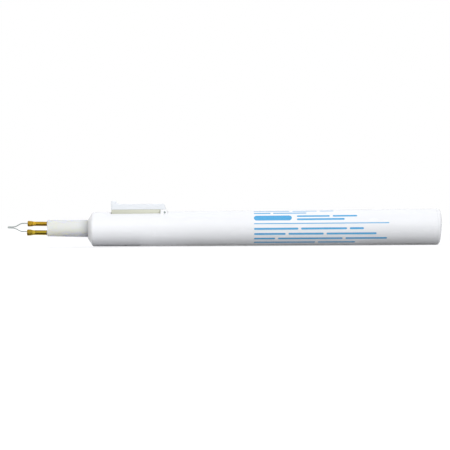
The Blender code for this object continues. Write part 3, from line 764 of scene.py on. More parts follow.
def as_mesh(shape: bmesh.types.BMesh, name: str) -> Mesh:
    """The plain mesh of an editable one, which is used up.

    Args:
        shape: the editable mesh.
        name: the plain one's name.

    Returns:
        The plain mesh.
    """
    mesh = bpy.data.meshes.new(name)
    shape.to_mesh(mesh)
    shape.free()
    return mesh


def face_outwards(mesh: Mesh) -> None:
    """Merge doubled points and turn every face of a closed mesh outwards.

    Args:
        mesh: the mesh to change.
    """
    shape = bmesh.new()
    shape.from_mesh(mesh)
    bmesh.ops.remove_doubles(shape, verts=shape.verts, dist=DOUBLE_GAP)
    bmesh.ops.recalc_face_normals(shape, faces=shape.faces)
    shape.to_mesh(mesh)
    shape.free()


def join_rings(shape: bmesh.types.BMesh, ring: Sequence[bmesh.types.BMVert],
               following: Sequence[bmesh.types.BMVert]) -> None:
    """Close the band between two rings of as many points with faces.

    Args:
        shape: the mesh that gets the faces.
        ring: the points of one ring.
        following: the points of the other.
    """
    count = len(ring)
    for index in range(count):
        after = (index + 1) % count
        shape.faces.new((ring[index], ring[after], following[after], following[index]))


def combine(mesh: Mesh, tools: Iterable[Mesh], cut: Cut) -> Mesh:
    """Join other meshes to a mesh or cut them out of it.

    Args:
        mesh: the mesh to change, which is used up.
        tools: the meshes that are joined or cut out, which are used up.
        cut: what the tools do.

    Returns:
        The new mesh.
    """
    item = linked("blank", mesh)
    helpers = []
    for tool in tools:
        face_outwards(tool)
        helper = linked("tool", tool)
        helpers.append(helper)
        modifier = item.modifiers.new("tool", "BOOLEAN")
        modifier.operation = cut.value
        modifier.solver = "EXACT"
        modifier.object = helper
    made = settled(item)
    for helper in helpers:
        discard(helper)
    return made


def bevelled(mesh: Mesh, width: float, segments: int, angle: float) -> Mesh:
    """A mesh with its sharp edges rounded.

    Args:
        mesh: the mesh, which is used up.
        width: the width of the rounding.
        segments: how many steps it has.
        angle: edges that turn by more than this are rounded, in degrees.

    Returns:
        The new mesh.
    """
    item = linked("blank", mesh)
    modifier = item.modifiers.new("edges", "BEVEL")
    modifier.width = width
    modifier.segments = segments
    modifier.limit_method = "ANGLE"
    modifier.angle_limit = math.radians(angle)
    return settled(item)


def arc(centre: Point, radius: float, start: float, end: float, steps: int) -> list[Point]:
    """Points on an arc, with its angles in degrees."""
    angles = [math.radians(start + (end - start) * step / steps) for step in range(steps + 1)]
    return [(centre[0] + radius * math.cos(angle), centre[1] + radius * math.sin(angle)) for angle in angles]


def spaced(start: float, end: float, spacing: float) -> list[float]:
    """Places from one end to the other, both included, no further apart than the spacing."""
    count = max(1, math.ceil(abs(end - start) / spacing))
    return [start + (end - start) * step / count for step in range(count + 1)]


def rounded_profile(corners: Sequence[Triple], steps: int = 4) -> list[Point]:
    """An outline whose corners are rounded.

    Args:
        corners: each corner with the radius of its rounding, which is 0 for a sharp one.
        steps: how many steps each rounding has.

    Returns:
        The outline's points. Its two ends stay sharp.
    """
    points: list[Point] = [corners[0][:2]]
    for before, corner, after in zip(corners, corners[1:], corners[2:]):
        middle = Vector(corner[:2])
        radius = corner[2]
        if radius == 0:
            points.append(tuple(middle))
            continue
        back = (Vector(before[:2]) - middle).normalized()
        ahead = (Vector(after[:2]) - middle).normalized()
        half = back.angle(ahead) / 2
        reach = radius / math.tan(half)
        centre = middle + (back + ahead).normalized() * radius / math.sin(half)
        first = (middle + back * reach - centre).normalized()
        last = (middle + ahead * reach - centre).normalized()
        almost_straight = first.dot(last) > 0.9999
        between = first.lerp if almost_straight else first.slerp
        points += [tuple(centre + between(last, step / steps) * radius) for step in range(steps + 1)]
    points.append(corners[-1][:2])
    return points


def grown(name: str, outline: Sequence[Triple], step: Triple) -> Mesh:
    """A flat outline moved along a step and made solid on its way.

    Args:
        name: the mesh's name.
        outline: the outline's points.
        step: how far it moves along each axis.

    Returns:
        The closed mesh.
    """
    shape = bmesh.new()
    face = shape.faces.new([shape.verts.new(point) for point in outline])
    made = bmesh.ops.extrude_face_region(shape, geom=[face])
    moved = [item for item in made["geom"] if isinstance(item, bmesh.types.BMVert)]
    bmesh.ops.translate(shape, verts=moved, vec=step)
    bmesh.ops.recalc_face_normals(shape, faces=shape.faces)
    return as_mesh(shape, name)


def slab(outline: Sequence[Point], width: float) -> Mesh:
    """A side outline of (place, height) made solid across the pen, half to each side."""
    return grown("slab", [(along, -width / 2, height) for along, height in outline], (0.0, width, 0.0))


def block(low: Point, high: Point) -> list[Point]:
    """Outline of a rectangle."""
    return [(low[0], low[1]), (high[0], low[1]), (high[0], high[1]), (low[0], high[1])]


@dataclass(frozen=True)
class PenSpace:
    """Where the pen's own measures lie in the frame."""

    nose: float
    axis: float
    pin: Point
    tip_lift: float = 0.38 * MM
    tip_tilt: float = math.radians(0.9)

    @classmethod
    def measured(cls, joints: Sequence[dict]) -> "PenSpace":
        """Read the nose's place, the axis's height and the hinge from the frame.

        Args:
            joints: the frame's joints.

        Returns:
            The pen's space.
        """
        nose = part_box("barrel")[0].x
        low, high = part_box("end_cap")
        axis = (low.z + high.z) / 2
        hinge = joints[0]["pos_m"]
        return cls(nose, axis, (hinge[0] - nose, hinge[2] - axis))

    def pen(self) -> Matrix:
        """The frame that starts on the axis at the nose."""
        return Matrix.Translation((self.nose, 0.0, self.axis))

    def tip(self) -> Matrix:
        """The lifted and tilted frame of the shaft, the tubes and the wire."""
        lifted = self.pen() @ Matrix.Translation((0.0, 0.0, self.tip_lift))
        return lifted @ Matrix.Rotation(self.tip_tilt, 4, "Y")

    def standing(self, along: float, height: float) -> Matrix:
        """A frame whose X axis points up, for a piece that is turned upright."""
        foot = self.pen() @ Matrix.Translation((along, 0.0, height))
        return foot @ Matrix.Rotation(-math.pi / 2, 4, "Y")

    def hinge(self) -> Matrix:
        """A frame on the pin, within the pen's own one, whose X axis runs across the pen."""
        return Matrix.Translation((self.pin[0], 0.0, self.pin[1])) @ Matrix.Rotation(math.pi / 2, 4, "Z")


class Workshop:
    """Makes meshes with the geometry trees and turns them into finished pieces."""

    guide_radius = 1.0 * MM

    def __init__(self, space: PenSpace) -> None:
        """Set up the trees.

        Args:
            space: where the pen lies.
        """
        self.space = space
        self.turning = turning_tree()
        self.sweeping = sweeping_tree()
        self.coiling = coiling_tree()

    def turned(self, profile: Sequence[Point], sides: int, finish: Finish, closed: bool = False,
               sharp: float = 30.0) -> Mesh:
        """Turn a profile round the X axis.

        Args:
            profile: points of (place, radius).
            sides: how many steps there are round the axis.
            finish: what it is made of.
            closed: whether the profile is a ring section.
            sharp: edges that turn by more than this look sharp, in degrees.

        Returns:
            The turned mesh.
        """
        points = [(radius - self.guide_radius, -along, 0.0) for along, radius in profile]
        values = {"Sides": sides, "Guide Radius": self.guide_radius}
        mesh = self.turning.run(points, closed, values, finish, sharp)
        face_outwards(mesh)
        return mesh

    def rod(self, start: float, end: float, radius: float, sides: int, finish: Finish, edge: float = 0.0,
            steps: int = 4) -> Mesh:
        """Turn a round rod along the X axis.

        Args:
            start: place of its front face.
            end: place of its rear face.
            radius: its radius.
            sides: how many steps there are round the axis.
            finish: what it is made of.
            edge: radius of the rounding of its two edges, which is 0 for sharp ones.
            steps: how many steps each rounding has.

        Returns:
            The rod's mesh.
        """
        corners = [(start, 0, 0), (start, radius, edge), (end, radius, edge), (end, 0, 0)]
        profile = rounded_profile(corners, steps) if edge else [corner[:2] for corner in corners]
        return self.turned(profile, sides, finish)

    def swept(self, path: Sequence[Sequence[float]], radius: float, finish: Finish, sides: int = 20,
              spacing: float = 0.2 * MM) -> Mesh:
        """Run a round wire along a smooth path.

        Args:
            path: points that the wire passes through.
            radius: the wire's radius.
            finish: what it is made of.
            sides: how many sides the wire has.
            spacing: how far its rings are apart.

        Returns:
            The wire's mesh.
        """
        values = {"Wire Radius": radius, "Spacing": spacing, "Sides": sides}
        mesh = self.sweeping.run(path, False, values, finish)
        face_outwards(mesh)
        return mesh

    def piece(self, name: str, mesh: Mesh, place: Matrix, finish: Finish, body: Body,
              stands_for: Sequence[str], sharp: float | None = 35.0,
              is_flat: Callable[[bpy.types.MeshPolygon], bool] | None = None) -> bpy.types.Object:
        """Turn a mesh into a piece that rides on a body.

        Args:
            name: the piece's name.
            mesh: its mesh, in its own frame.
            place: where that frame lies.
            finish: what it is made of.
            body: what it rides on.
            stands_for: the solids that it replaces.
            sharp: edges that turn by more than this look sharp, in degrees.
            is_flat: tells which faces, in the frame, are flat ones.

        Returns:
            The piece.
        """
        mesh.name = name
        mesh.transform(place)
        face_outwards(mesh)
        if sharp is not None:
            mesh.shade_smooth()
            mesh.set_sharp_from_angle(angle=math.radians(sharp))
        if is_flat is not None:
            for face in mesh.polygons:
                if is_flat(face):
                    face.use_smooth = False
        mesh.materials.clear()
        mesh.materials.append(finish.material())
        mesh.polygons.foreach_set("material_index", [0] * len(mesh.polygons))
        item = linked(name, mesh)
        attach(item, body.value)
        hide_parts(*stands_for)
        triangles = sum(len(face.vertices) - 2 for face in mesh.polygons)
        LOG.info("%s: %d triangles, rides on %s", name, triangles, body.value)
        return item


WHITE_PLASTIC = (0.86, 0.865, 0.885)
WHITE_CLOUD = (0.845, 0.852, 0.872)
CREAM_PLASTIC = (0.735, 0.747, 0.735)
BRASS = (0.51, 0.312, 0.027)
YELLOW_BRASS = (0.41, 0.298, 0.031)

PRINT_ROWS: tuple[tuple[float, float, tuple[Point, ...]], ...] = (
    (10.0, 0.70, ((14.0, 31.0), (32.4, 44.0), (45.4, 52.0))),
    (8.2, 0.80, ((14.0, 22.0), (23.2, 39.0))),
    (5.1, 2.80, ((14.0, 32.0),)),
    (6.0, 0.95, ((34.4, 50.0), (51.4, 63.0))),
    (4.2, 0.95, ((34.4, 57.0),)),
    (2.1, 0.45, ((14.0, 78.0),)),
    (-0.4, 0.95, ((14.0, 35.0), (36.3, 58.0), (59.3, 66.0))),
    (-2.9, 0.95, ((14.0, 29.0), (30.3, 47.0), (48.3, 72.0))),
    (-5.4, 0.95, ((14.0, 24.0), (25.3, 56.0), (57.3, 77.0))),
    (-7.9, 0.95, ((14.0, 43.0), (44.3, 62.0))),
)


def print_bars() -> tuple[PrintBar, ...]:
    """The bars of all the printed rows."""
    return tuple(PrintBar(start, end, middle, thickness)
                 for middle, thickness, spans in PRINT_ROWS for start, end in spans)


@dataclass
class Looks:
    """All the finishes of the pen."""

    axis: float
    cells: tuple[float, ...]
    barrel: Finish = field(init=False)
    white: Finish = field(init=False)
    button: Finish = field(init=False)
    cream: Finish = field(init=False)
    lever: Finish = field(init=False)
    brass: Finish = field(init=False)
    yellow_brass: Finish = field(init=False)
    bronze: Finish = field(init=False)
    plated: Finish = field(init=False)
    pin: Finish = field(init=False)
    heater: Finish = field(init=False)
    cell: Finish = field(init=False)
    lead: Finish = field(init=False)

    def __post_init__(self) -> None:
        """Mix the finishes."""
        # The barrel's tone darkens towards the nose's small end: painted shade where the shaft keeps the
        # light off the cone.
        self.barrel = PrintedMoulding(Slot.WHITE, WHITE_PLASTIC, 0.24, cloud=WHITE_CLOUD,
                                      painted_shade=(-63.3, -65.0, 0.74), axis=self.axis / MM, bars=print_bars())
        self.white = Moulding(Slot.WHITE, WHITE_PLASTIC, 0.24, "plain", cloud=WHITE_CLOUD)
        self.button = Moulding(Slot.BUTTON, (0.785, 0.812, 0.842), 0.36, cloud=(0.77, 0.797, 0.827))
        # The shaft's tone darkens towards the nose: painted shade where the nose keeps the light off it.
        self.cream = Moulding(Slot.CREAM, CREAM_PLASTIC, 0.42, cloud=(0.725, 0.735, 0.722),
                              painted_shade=(-69.4, -65.0, 0.70), depth_share=1.0, depth_reach=4.0 * MM)
        # The lever is the shaft's cream made darker and yellower, partly as painted shade under the cap's
        # overhang, and its tone darkens towards its front end as painted shade.
        self.lever = Moulding(Slot.CREAM, (0.64, 0.645, 0.54), 0.42, "lever", cloud=(0.625, 0.63, 0.525),
                              painted_shade=(-36.0, -53.8, 0.88))
        self.brass = HeatedMetal(Slot.BRASS, BRASS, 0.17, tarnish=(0.30, 0.16, 0.02))
        self.yellow_brass = HeatedMetal(Slot.BRASS, YELLOW_BRASS, 0.17, "yellow", tarnish=(0.26, 0.17, 0.02))
        self.bronze = DrawnMetal(Slot.BRONZE, (0.62, 0.40, 0.21), 0.32, tarnish=(0.35, 0.2, 0.1))
        self.plated = DrawnMetal(Slot.PLATED, (0.62, 0.62, 0.60), 0.28, tarnish=(0.40, 0.40, 0.38))
        self.pin = DrawnMetal(Slot.PIN, (0.38, 0.46, 0.43), 0.34, tarnish=(0.30, 0.32, 0.32))
        self.heater = HeatedMetal(Slot.HEATER, (0.46, 0.50, 0.495), 0.38, tarnish=(0.38, 0.42, 0.41),
                                  cool=-97.0, hot=-104.0, tint=(0.66, 0.71, 0.70), tint_share=0.7)
        self.cell = CellWrap(Slot.CELL, (0.05, 0.06, 0.085), 0.35, starts=self.cells)
        self.lead = Moulding(Slot.LEAD, (0.50, 0.045, 0.035), 0.45, cloud=(0.42, 0.035, 0.03),
                             grain_size=0.08)


@dataclass
class Part:
    """A part of the pen, which is made in the workshop."""

    workshop: Workshop

    @property
    def space(self) -> PenSpace:
        """Where the pen lies."""
        return self.workshop.space


@dataclass
class Barrel(Part):
    """The moulded tube with its conical nose, button slot and hinge ears."""

    length: float
    front_radius: float
    rear_radius: float
    wall: float = 0.85 * MM
    nose_depth: float = 2.2 * MM
    nose_corner: float = 1.0 * MM
    nose_hole: float = 4.62 * MM
    nose_ring: float = 0.12 * MM
    outer_lip: float = 0.06 * MM
    inner_lip: float = 0.04 * MM
    slot_front: float = 10.90 * MM
    slot_rear_room: float = 1.42 * MM
    slot_half_width: float = 3.9 * MM
    ear_front_room: float = 2.0 * MM
    ear_round: float = 1.25 * MM
    ear_half_width: float = 5.1 * MM
    hole_radius: float = 0.515 * MM
    ear_draft: float = 0.20
    edge: float = 0.12 * MM
    sides: int = 180
    ear_spacing: float = 0.7 * MM
    slot_spacing: float = 2.0 * MM
    nose_spacing: float = 1.5 * MM
    outer_spacing: float = 6.0 * MM
    inner_spacing: float = 12.0 * MM
    slot_row: float = math.radians(28.0)
    ear_row: float = math.radians(38.0)

    def radius(self, along: float) -> float:
        """Outer radius at a place along the pen."""
        share = (along - self.nose_depth) / (self.length - self.nose_depth)
        return self.front_radius + (self.rear_radius - self.front_radius) * share

    def slot_stations(self) -> list[float]:
        """Places of the rings along the slot, from its rear to its front.

        Returns:
            The places.
        """
        pin = self.space.pin[0]
        ear_arc = [pin + self.ear_round * math.cos(math.radians(angle)) for angle in range(0, 91, 9)]
        stations = [pin + self.slot_rear_room, *ear_arc]
        stations += spaced(pin, pin - self.ear_front_room, self.ear_spacing)[1:]
        stations += spaced(pin - self.ear_front_room, self.slot_front, self.slot_spacing)[1:]
        return stations

    def profile(self) -> list[Point]:
        """Ring section of the tube, from the rear face forwards outside and back inside.

        Returns:
            Its points of (place, radius).
        """
        ring = self.nose_hole + self.nose_ring
        angle = math.atan2(self.front_radius - ring, self.nose_depth)
        corner_end = self.nose_depth + self.nose_corner * math.tan(angle / 2)
        bore_start = (self.front_radius - self.wall - ring) / math.tan(angle) + self.wall / math.sin(angle)
        slot = self.slot_stations()
        outside = spaced(self.length - self.edge, slot[0], self.outer_spacing)[1:-1] + slot
        outside += spaced(self.slot_front, corner_end, self.nose_spacing)[1:-1]
        rear = arc((self.length - self.edge, self.rear_radius - self.edge), self.edge, 0, 90, 3)
        points = [(self.length, self.rear_radius - self.wall + self.edge)] + rear
        points += [(along, self.radius(along)) for along in outside]
        nose_arc = arc((corner_end, self.front_radius - self.nose_corner), self.nose_corner, 90,
                       90 + math.degrees(angle), 10)
        points += nose_arc
        cone_end = nose_arc[-1]
        points += [(cone_end[0] * share, ring + (cone_end[1] - ring) * share) for share in (0.66, 0.33)]
        points += arc((self.outer_lip, ring - self.outer_lip), self.outer_lip, 120, 180, 2)
        points += arc((self.inner_lip, self.nose_hole + self.inner_lip), self.inner_lip, 180, 270, 2)
        points += [(bore_start * 0.5, self.nose_hole), (bore_start, self.nose_hole)]
        points += [(bore_start, self.radius(bore_start) - self.wall)]
        inside = spaced(self.slot_front, bore_start, self.slot_spacing)[1:-1][::-1]
        inside += slot[::-1] + spaced(slot[0], self.length, self.inner_spacing)[1:]
        points += [(along, self.radius(along) - self.wall) for along in inside]
        return points

    def place_rows(self, shape: bmesh.types.BMesh) -> None:
        """Move the rows of points so that rows lie on the slot's and the ears' sides.

        Args:
            shape: the barrel's skin.
        """
        least = self.front_radius - self.wall
        for point in shape.verts:
            radius = math.hypot(point.co.y, point.co.z)
            angle = math.atan2(point.co.y, point.co.z)
            reach = max(radius, least)
            knots = [(0.0, 0.0), (self.slot_row, math.asin(self.slot_half_width / reach)),
                     (self.ear_row, math.asin(self.ear_half_width / reach)), (math.pi / 2, math.pi / 2)]
            for (low, low_to), (high, high_to) in zip(knots, knots[1:]):
                if low <= abs(angle) <= high:
                    share = (abs(angle) - low) / (high - low)
                    turned = math.copysign(low_to + (high_to - low_to) * share, angle)
                    point.co.y = radius * math.sin(turned)
                    point.co.z = radius * math.cos(turned)
                    break

    def open_slot(self, shape: bmesh.types.BMesh) -> None:
        """Take the slot out of both skins and wall it.

        Args:
            shape: the barrel's skin.
        """
        rear = self.space.pin[0] + self.slot_rear_room
        inside = []
        for face in shape.faces:
            middle = face.calc_center_median()
            in_width = abs(middle.y) < self.slot_half_width
            if self.slot_front < middle.x < rear and in_width and middle.z > 0:
                inside.append(face)
        bmesh.ops.delete(shape, geom=inside, context="FACES")
        rims = [side for side in shape.edges if side.is_boundary]
        bmesh.ops.bridge_loops(shape, edges=rims)

    def ear_top(self, along: float) -> float:
        """Height of the ears at a place along the pen.

        Args:
            along: the place.

        Returns:
            The height above the axis.
        """
        pin_along, pin_height = self.space.pin
        behind = max(0.0, along - pin_along)
        return pin_height + math.sqrt(max(0.0, self.ear_round ** 2 - behind ** 2))

    def ear_reach(self, height: float) -> float:
        """Distance of the ears' outer faces from the pen's middle at a height."""
        foot = math.sqrt(self.radius(self.space.pin[0]) ** 2 - self.ear_half_width ** 2)
        return self.ear_half_width - self.ear_draft * (height - foot)

    def raise_ears(self, shape: bmesh.types.BMesh) -> None:
        """Raise the two ears beside the slot's rear end.

        Args:
            shape: the barrel's skin.
        """
        pin = self.space.pin[0]
        bases = []
        for face in shape.faces:
            middle = face.calc_center_median()
            outer = math.hypot(middle.y, middle.z) > self.radius(middle.x) - self.wall / 2
            level = abs(face.normal.z) > 0.3
            in_length = pin - self.ear_front_room < middle.x < pin + self.ear_round
            in_width = self.slot_half_width < abs(middle.y) < self.ear_half_width
            if outer and level and middle.z > 0 and in_length and in_width:
                bases.append(face)
        made = bmesh.ops.extrude_face_region(shape, geom=bases)
        middle_width = (self.slot_half_width + self.ear_half_width) / 2
        for item in made["geom"]:
            if isinstance(item, bmesh.types.BMVert):
                rise = self.ear_top(item.co.x) - item.co.z
                item.co.z += rise
                if abs(item.co.y) > middle_width:
                    item.co.y -= math.copysign(self.ear_draft * max(0.0, rise), item.co.y)
        left = [face for face in bases if face.is_valid]
        bmesh.ops.delete(shape, geom=left, context="FACES_ONLY")

    def soften(self, shape: bmesh.types.BMesh) -> None:
        """Round the edges of the slot and the ears.

        Args:
            shape: the barrel's skin.
        """
        room = 0.1 * MM
        front = self.slot_front - room
        rear = self.space.pin[0] + self.slot_rear_room + room
        sharp = math.radians(40)
        shape.normal_update()
        chosen = []
        for side in shape.edges:
            middle = (side.verts[0].co + side.verts[1].co) / 2
            in_width = abs(middle.y) < self.ear_half_width + room
            near = front < middle.x < rear and in_width and middle.z > 0
            if near and side.is_manifold and side.calc_face_angle(0.0) > sharp:
                chosen.append(side)
        bmesh.ops.bevel(shape, geom=chosen, offset=self.edge, offset_type="OFFSET", segments=3,
                        profile=0.5, affect="EDGES", clamp_overlap=True)

    def on_ear_side(self, face: bpy.types.MeshPolygon) -> bool:
        """Whether a face of the finished piece lies on a flat side of an ear.

        Args:
            face: the face.

        Returns:
            True where it does.
        """
        pin = self.space.pin[0]
        along = face.center.x - self.space.nose
        across = abs(face.center.y)
        in_length = pin - self.ear_front_room <= along <= pin + self.ear_round
        in_width = self.slot_half_width - 0.05 * MM < across < self.ear_half_width + 0.02 * MM
        above_axis = face.center.z > self.space.axis
        upright = abs(face.normal.y) > 0.93
        return in_length and in_width and above_axis and upright

    def hole_cutter(self, finish: Finish) -> Mesh:
        """A rod across the ears that flares where it leaves them.

        Args:
            finish: the plastic.

        Returns:
            The rod's mesh.
        """
        flare = 0.01 * MM
        outer = self.ear_half_width
        corners = [(-outer - flare, 0), (-outer - flare, self.hole_radius + 2 * flare),
                   (-outer + flare, self.hole_radius), (outer - flare, self.hole_radius),
                   (outer + flare, self.hole_radius + 2 * flare), (outer + flare, 0)]
        rod = self.workshop.turned(corners, 40, finish)
        rod.transform(self.space.hinge())
        return rod

    def build(self, finish: Finish) -> None:
        """Make the barrel and put it in place.

        Args:
            finish: the plastic.
        """
        blank = self.workshop.turned(self.profile(), self.sides, finish, closed=True)
        shape = bmesh.new()
        shape.from_mesh(blank)
        bpy.data.meshes.remove(blank)
        self.place_rows(shape)
        self.open_slot(shape)
        bmesh.ops.recalc_face_normals(shape, faces=shape.faces)
        self.raise_ears(shape)
        self.soften(shape)
        bmesh.ops.recalc_face_normals(shape, faces=shape.faces)
        mesh = combine(as_mesh(shape, "barrel_shell"), [self.hole_cutter(finish)], Cut.REMOVE)
        self.workshop.piece("barrel_shell", mesh, self.space.pen(), finish, Body.PEN, ["barrel"],
                            is_flat=self.on_ear_side)


@dataclass
class EndCap(Part):
    """The domed plug at the rear."""

    start: float
    depth: float
    radius: float
    corner_length: float = 1.6 * MM
    corner_height: float = 1.5 * MM
    corner_steps: int = 28
    corner_step: float = math.radians(3.0)
    side_spacing: float = 1.0 * MM
    face_spacing: float = 0.3 * MM
    crown: float = 0.80 * MM
    flat_radius: float = 1.6 * MM
    seam: float = 0.085 * MM
    edge: float = 0.02 * MM
    spigot_radius: float = 7.56 * MM
    spigot_length: float = 6.4 * MM
    wall: float = 1.1 * MM
    lean: float = 0.055
    sides: int = 128

    def dome(self) -> list[Point]:
        """Points of the round corner and the slightly domed face, from the rim to the middle.

        Returns:
            The points of (place, radius).
        """
        face_radius = self.radius - self.corner_height
        corner_start = self.depth - self.crown - self.corner_length
        points = [(along, self.radius) for along in spaced(0.0, corner_start, self.side_spacing)[1:]]
        for step in range(1, self.corner_steps + 1):
            angle = self.corner_step * step
            points.append((corner_start + self.corner_length * math.sin(angle),
                           face_radius + self.corner_height * math.cos(angle)))
        radii = spaced(points[-1][1], self.flat_radius, self.face_spacing)[1:]
        for radius in radii + [self.flat_radius / 2, 0.0]:
            share = max(radius, self.flat_radius) / face_radius
            points.append((self.depth - self.crown * share ** 2, radius))
        return points

    def build(self, finish: Finish) -> None:
        """Make the cap and put it in place.

        Args:
            finish: the plastic.
        """
        hollow = self.spigot_radius - self.wall
        front = -self.spigot_length
        rim = rounded_profile([(0, 0, 0), (0, hollow, 0.3 * MM), (front, hollow, 0.1 * MM),
                               (front, self.spigot_radius, 0.3 * MM), (-self.seam, self.spigot_radius, 0),
                               (-self.seam, self.radius, self.edge), (0, self.radius, 0)])
        mesh = self.workshop.turned(rim + self.dome(), self.sides, finish)
        for point in mesh.vertices:
            if point.co.x > 0:
                point.co.x += self.lean * point.co.z * point.co.x / self.depth
        place = self.space.pen() @ Matrix.Translation((self.start, 0.0, 0.0))
        self.workshop.piece("rear_plug", mesh, place, finish, Body.PEN, ["end_cap"])


@dataclass
class Tip(Part):
    """The shaft with its two crimped brass tubes and the heater wire."""

    shaft_reach: float = 19.4 * MM
    shaft_inner: float = 8.0 * MM
    shaft_nose_radius: float = 4.09 * MM
    shaft_front_radius: float = 3.90 * MM
    shaft_edge: float = 0.13 * MM
    tube_radius: float = 1.03 * MM
    tube_hole: float = 0.42 * MM
    tube_spacing: float = 4.13 * MM
    tube_reach: float = 9.9 * MM
    tube_inner_reach: float = 5.0 * MM
    tube_sides: int = 72
    tube_lip: float = 0.07 * MM
    upper_set_back: float = 0.25 * MM
    bore_room: float = 0.05 * MM
    jaw_place: float = 0.50
    jaw_length: float = 0.62 * MM
    jaw_height: float = 0.78 * MM
    jaw_depth: float = 0.13 * MM
    crimp_length: float = 2.3 * MM
    crimp_height: float = 2.66 * MM
    crimp_width: float = 1.6 * MM
    blend_radius: float = 1.08 * MM
    blend_length: float = 1.1 * MM
    punch_middle: float = 3.25 * MM
    punch_half_length: float = 0.66 * MM
    punch_depth: float = 0.31 * MM
    punch_tilt: float = 0.46
    punch_runout: float = 2.5
    lower_swell: float = 1.12
    lower_drop: float = 0.08 * MM
    wire_radius: float = 0.25 * MM
    wire_end: float = 38.62 * MM
    wire_tail: float = 6.0 * MM
    collar_length: float = 0.45 * MM
    collar_radius: float = 1.30 * MM
    collar_edge: float = 0.15 * MM
    collar_root: float = 1.0 * MM

    def sides(self) -> dict[str, float]:
        """Heights of the upper and the lower tube above the shaft's axis."""
        return {"upper": self.tube_spacing / 2, "lower": -self.tube_spacing / 2 - self.lower_drop}

    def swell(self, side: str) -> float:
        """How thick a tube is beside the upper one."""
        return self.lower_swell if side == "lower" else 1.0

    def build_shaft(self, finish: Finish) -> None:
        """Make the insulating rod with its two bores.

        Args:
            finish: the plastic.
        """
        edge = self.shaft_edge
        corners = [(-self.shaft_reach, 0, 0), (-self.shaft_reach, self.shaft_front_radius, edge),
                   (0, self.shaft_nose_radius, 0), (self.shaft_inner, self.shaft_nose_radius, edge),
                   (self.shaft_inner, 0, 0)]
        rod = self.workshop.turned(rounded_profile(corners, 6), 96, finish)
        bores = []
        beyond = 0.12 * MM
        front = -self.shaft_reach - self.collar_length - beyond
        for side, height in self.sides().items():
            bore = self.tube_radius * self.swell(side) + self.bore_room
            cutter = self.workshop.rod(front, self.shaft_inner + beyond, bore, 48, finish)
            cutter.transform(Matrix.Translation((0.0, 0.0, height)))
            bores.append(cutter)
        mesh = combine(combine(rod, self.collars(finish), Cut.JOIN), bores, Cut.REMOVE)
        self.workshop.piece("shaft_rod", mesh, self.space.tip(), finish, Body.PEN, ["shaft"])

    def collars(self, finish: Finish) -> list[Mesh]:
        """Short raised rings on the shaft's front face, one round each tube.

        Args:
            finish: the plastic.

        Returns:
            One mesh for each ring.
        """
        meshes = []
        front = -self.shaft_reach - self.collar_length
        root = -self.shaft_reach + self.collar_root
        for height in self.sides().values():
            corners = [(front, 0, 0), (front, self.collar_radius, self.collar_edge),
                       (root, self.collar_radius, 0), (root, 0, 0)]
            ring = self.workshop.turned(rounded_profile(corners, 4), 48, finish)
            ring.transform(Matrix.Translation((0.0, 0.0, height)))
            meshes.append(ring)
        return meshes

    def tube_sections(self) -> list[Triple]:
        """Key sections of a tube as (place from its mouth, half width, half height).

        Returns:
            The sections, from the mouth inwards.
        """
        half_width = self.crimp_width / 2
        half_height = self.crimp_height / 2
        blend = self.crimp_length + self.blend_length / 2
        return [(0.0, 0.86 * half_width, 0.88 * half_height),
                (0.10 * self.crimp_length, half_width, 0.98 * half_height),
                (0.30 * self.crimp_length, 0.97 * half_width, half_height),
                (0.74 * self.crimp_length, half_width, 0.98 * half_height),
                (self.crimp_length, (half_width + self.tube_radius) / 2, 0.90 * half_height),
                (blend, self.blend_radius, self.blend_radius),
                (self.crimp_length + self.blend_length, self.tube_radius, self.tube_radius),
                (self.crimp_length + 2 * self.blend_length, self.tube_radius, self.tube_radius)]

    def tube_section(self, along: float) -> Point:
        """Half width and half height of a tube at a place from its mouth.

        Args:
            along: the place.

        Returns:
            The two halves.
        """
        keys = self.tube_sections()
        for before, after in zip(keys, keys[1:]):
            if along <= after[0]:
                share = (along - before[0]) / (after[0] - before[0])
                eased = share * share * (3 - 2 * share)
                return (before[1] + (after[1] - before[1]) * eased,
                        before[2] + (after[2] - before[2]) * eased)
        return self.tube_radius, self.tube_radius

    def jaw_mark(self, along: float, height: float) -> float:
        """Depth that the crimping jaws press into a tube's sides.

        Args:
            along: place from the tube's mouth.
            height: height above the tube's axis.

        Returns:
            How far the surface is pressed in.
        """
        off_along = (along - self.jaw_place * self.crimp_length) / self.jaw_length
        off_height = height / self.jaw_height
        return self.jaw_depth * math.exp(-(off_along ** 4 + off_height ** 4))

    def punched_flat(self, along: float, height: float) -> float:
        """How far out the flat that the punch leaves lets the surface reach.

        Args:
            along: place from the tube's mouth.
            height: height above the tube's axis.

        Returns:
            The largest distance from the tube's upright middle plane.
        """
        beyond = max(0.0, abs(along - self.punch_middle) - self.punch_half_length)
        flat = self.tube_radius - self.punch_depth - self.punch_tilt * height
        return flat + self.punch_runout * beyond

    def tube_mesh(self) -> Mesh:
        """One brass tube with its mouth at the origin, crimped flat and punched.

        Returns:
            The closed mesh.
        """
        length = self.tube_reach + self.shaft_reach + self.shaft_inner + self.tube_inner_reach
        fine_end = self.crimp_length + 2 * self.blend_length
        stations = spaced(0.0, fine_end, 0.075 * MM) + spaced(fine_end, length, 1.5 * MM)[1:]
        lip = self.tube_lip
        half_width, half_height = self.tube_section(0.0)
        shape = bmesh.new()
        rings = []
        for along, inset in ((0.0, lip * 1.4), (lip * 0.3, lip * 0.7)):
            rings.append(self.tube_ring(shape, along, half_width - inset, half_height - inset, False))
        for along in stations[1:]:
            rings.append(self.tube_ring(shape, along, *self.tube_section(along), True))
        end = stations[-1]
        hole = self.tube_hole
        wide_hole = hole * 7 / 6
        for along, radius in ((end, hole), (end - 1.0 * MM, hole), (1.0 * MM, hole), (0.25 * MM, wide_hole)):
            rings.append(self.tube_ring(shape, along, radius, radius, False))
        for ring, following in zip(rings, rings[1:] + rings[:1]):
            join_rings(shape, ring, following)
        return as_mesh(shape, "tube")

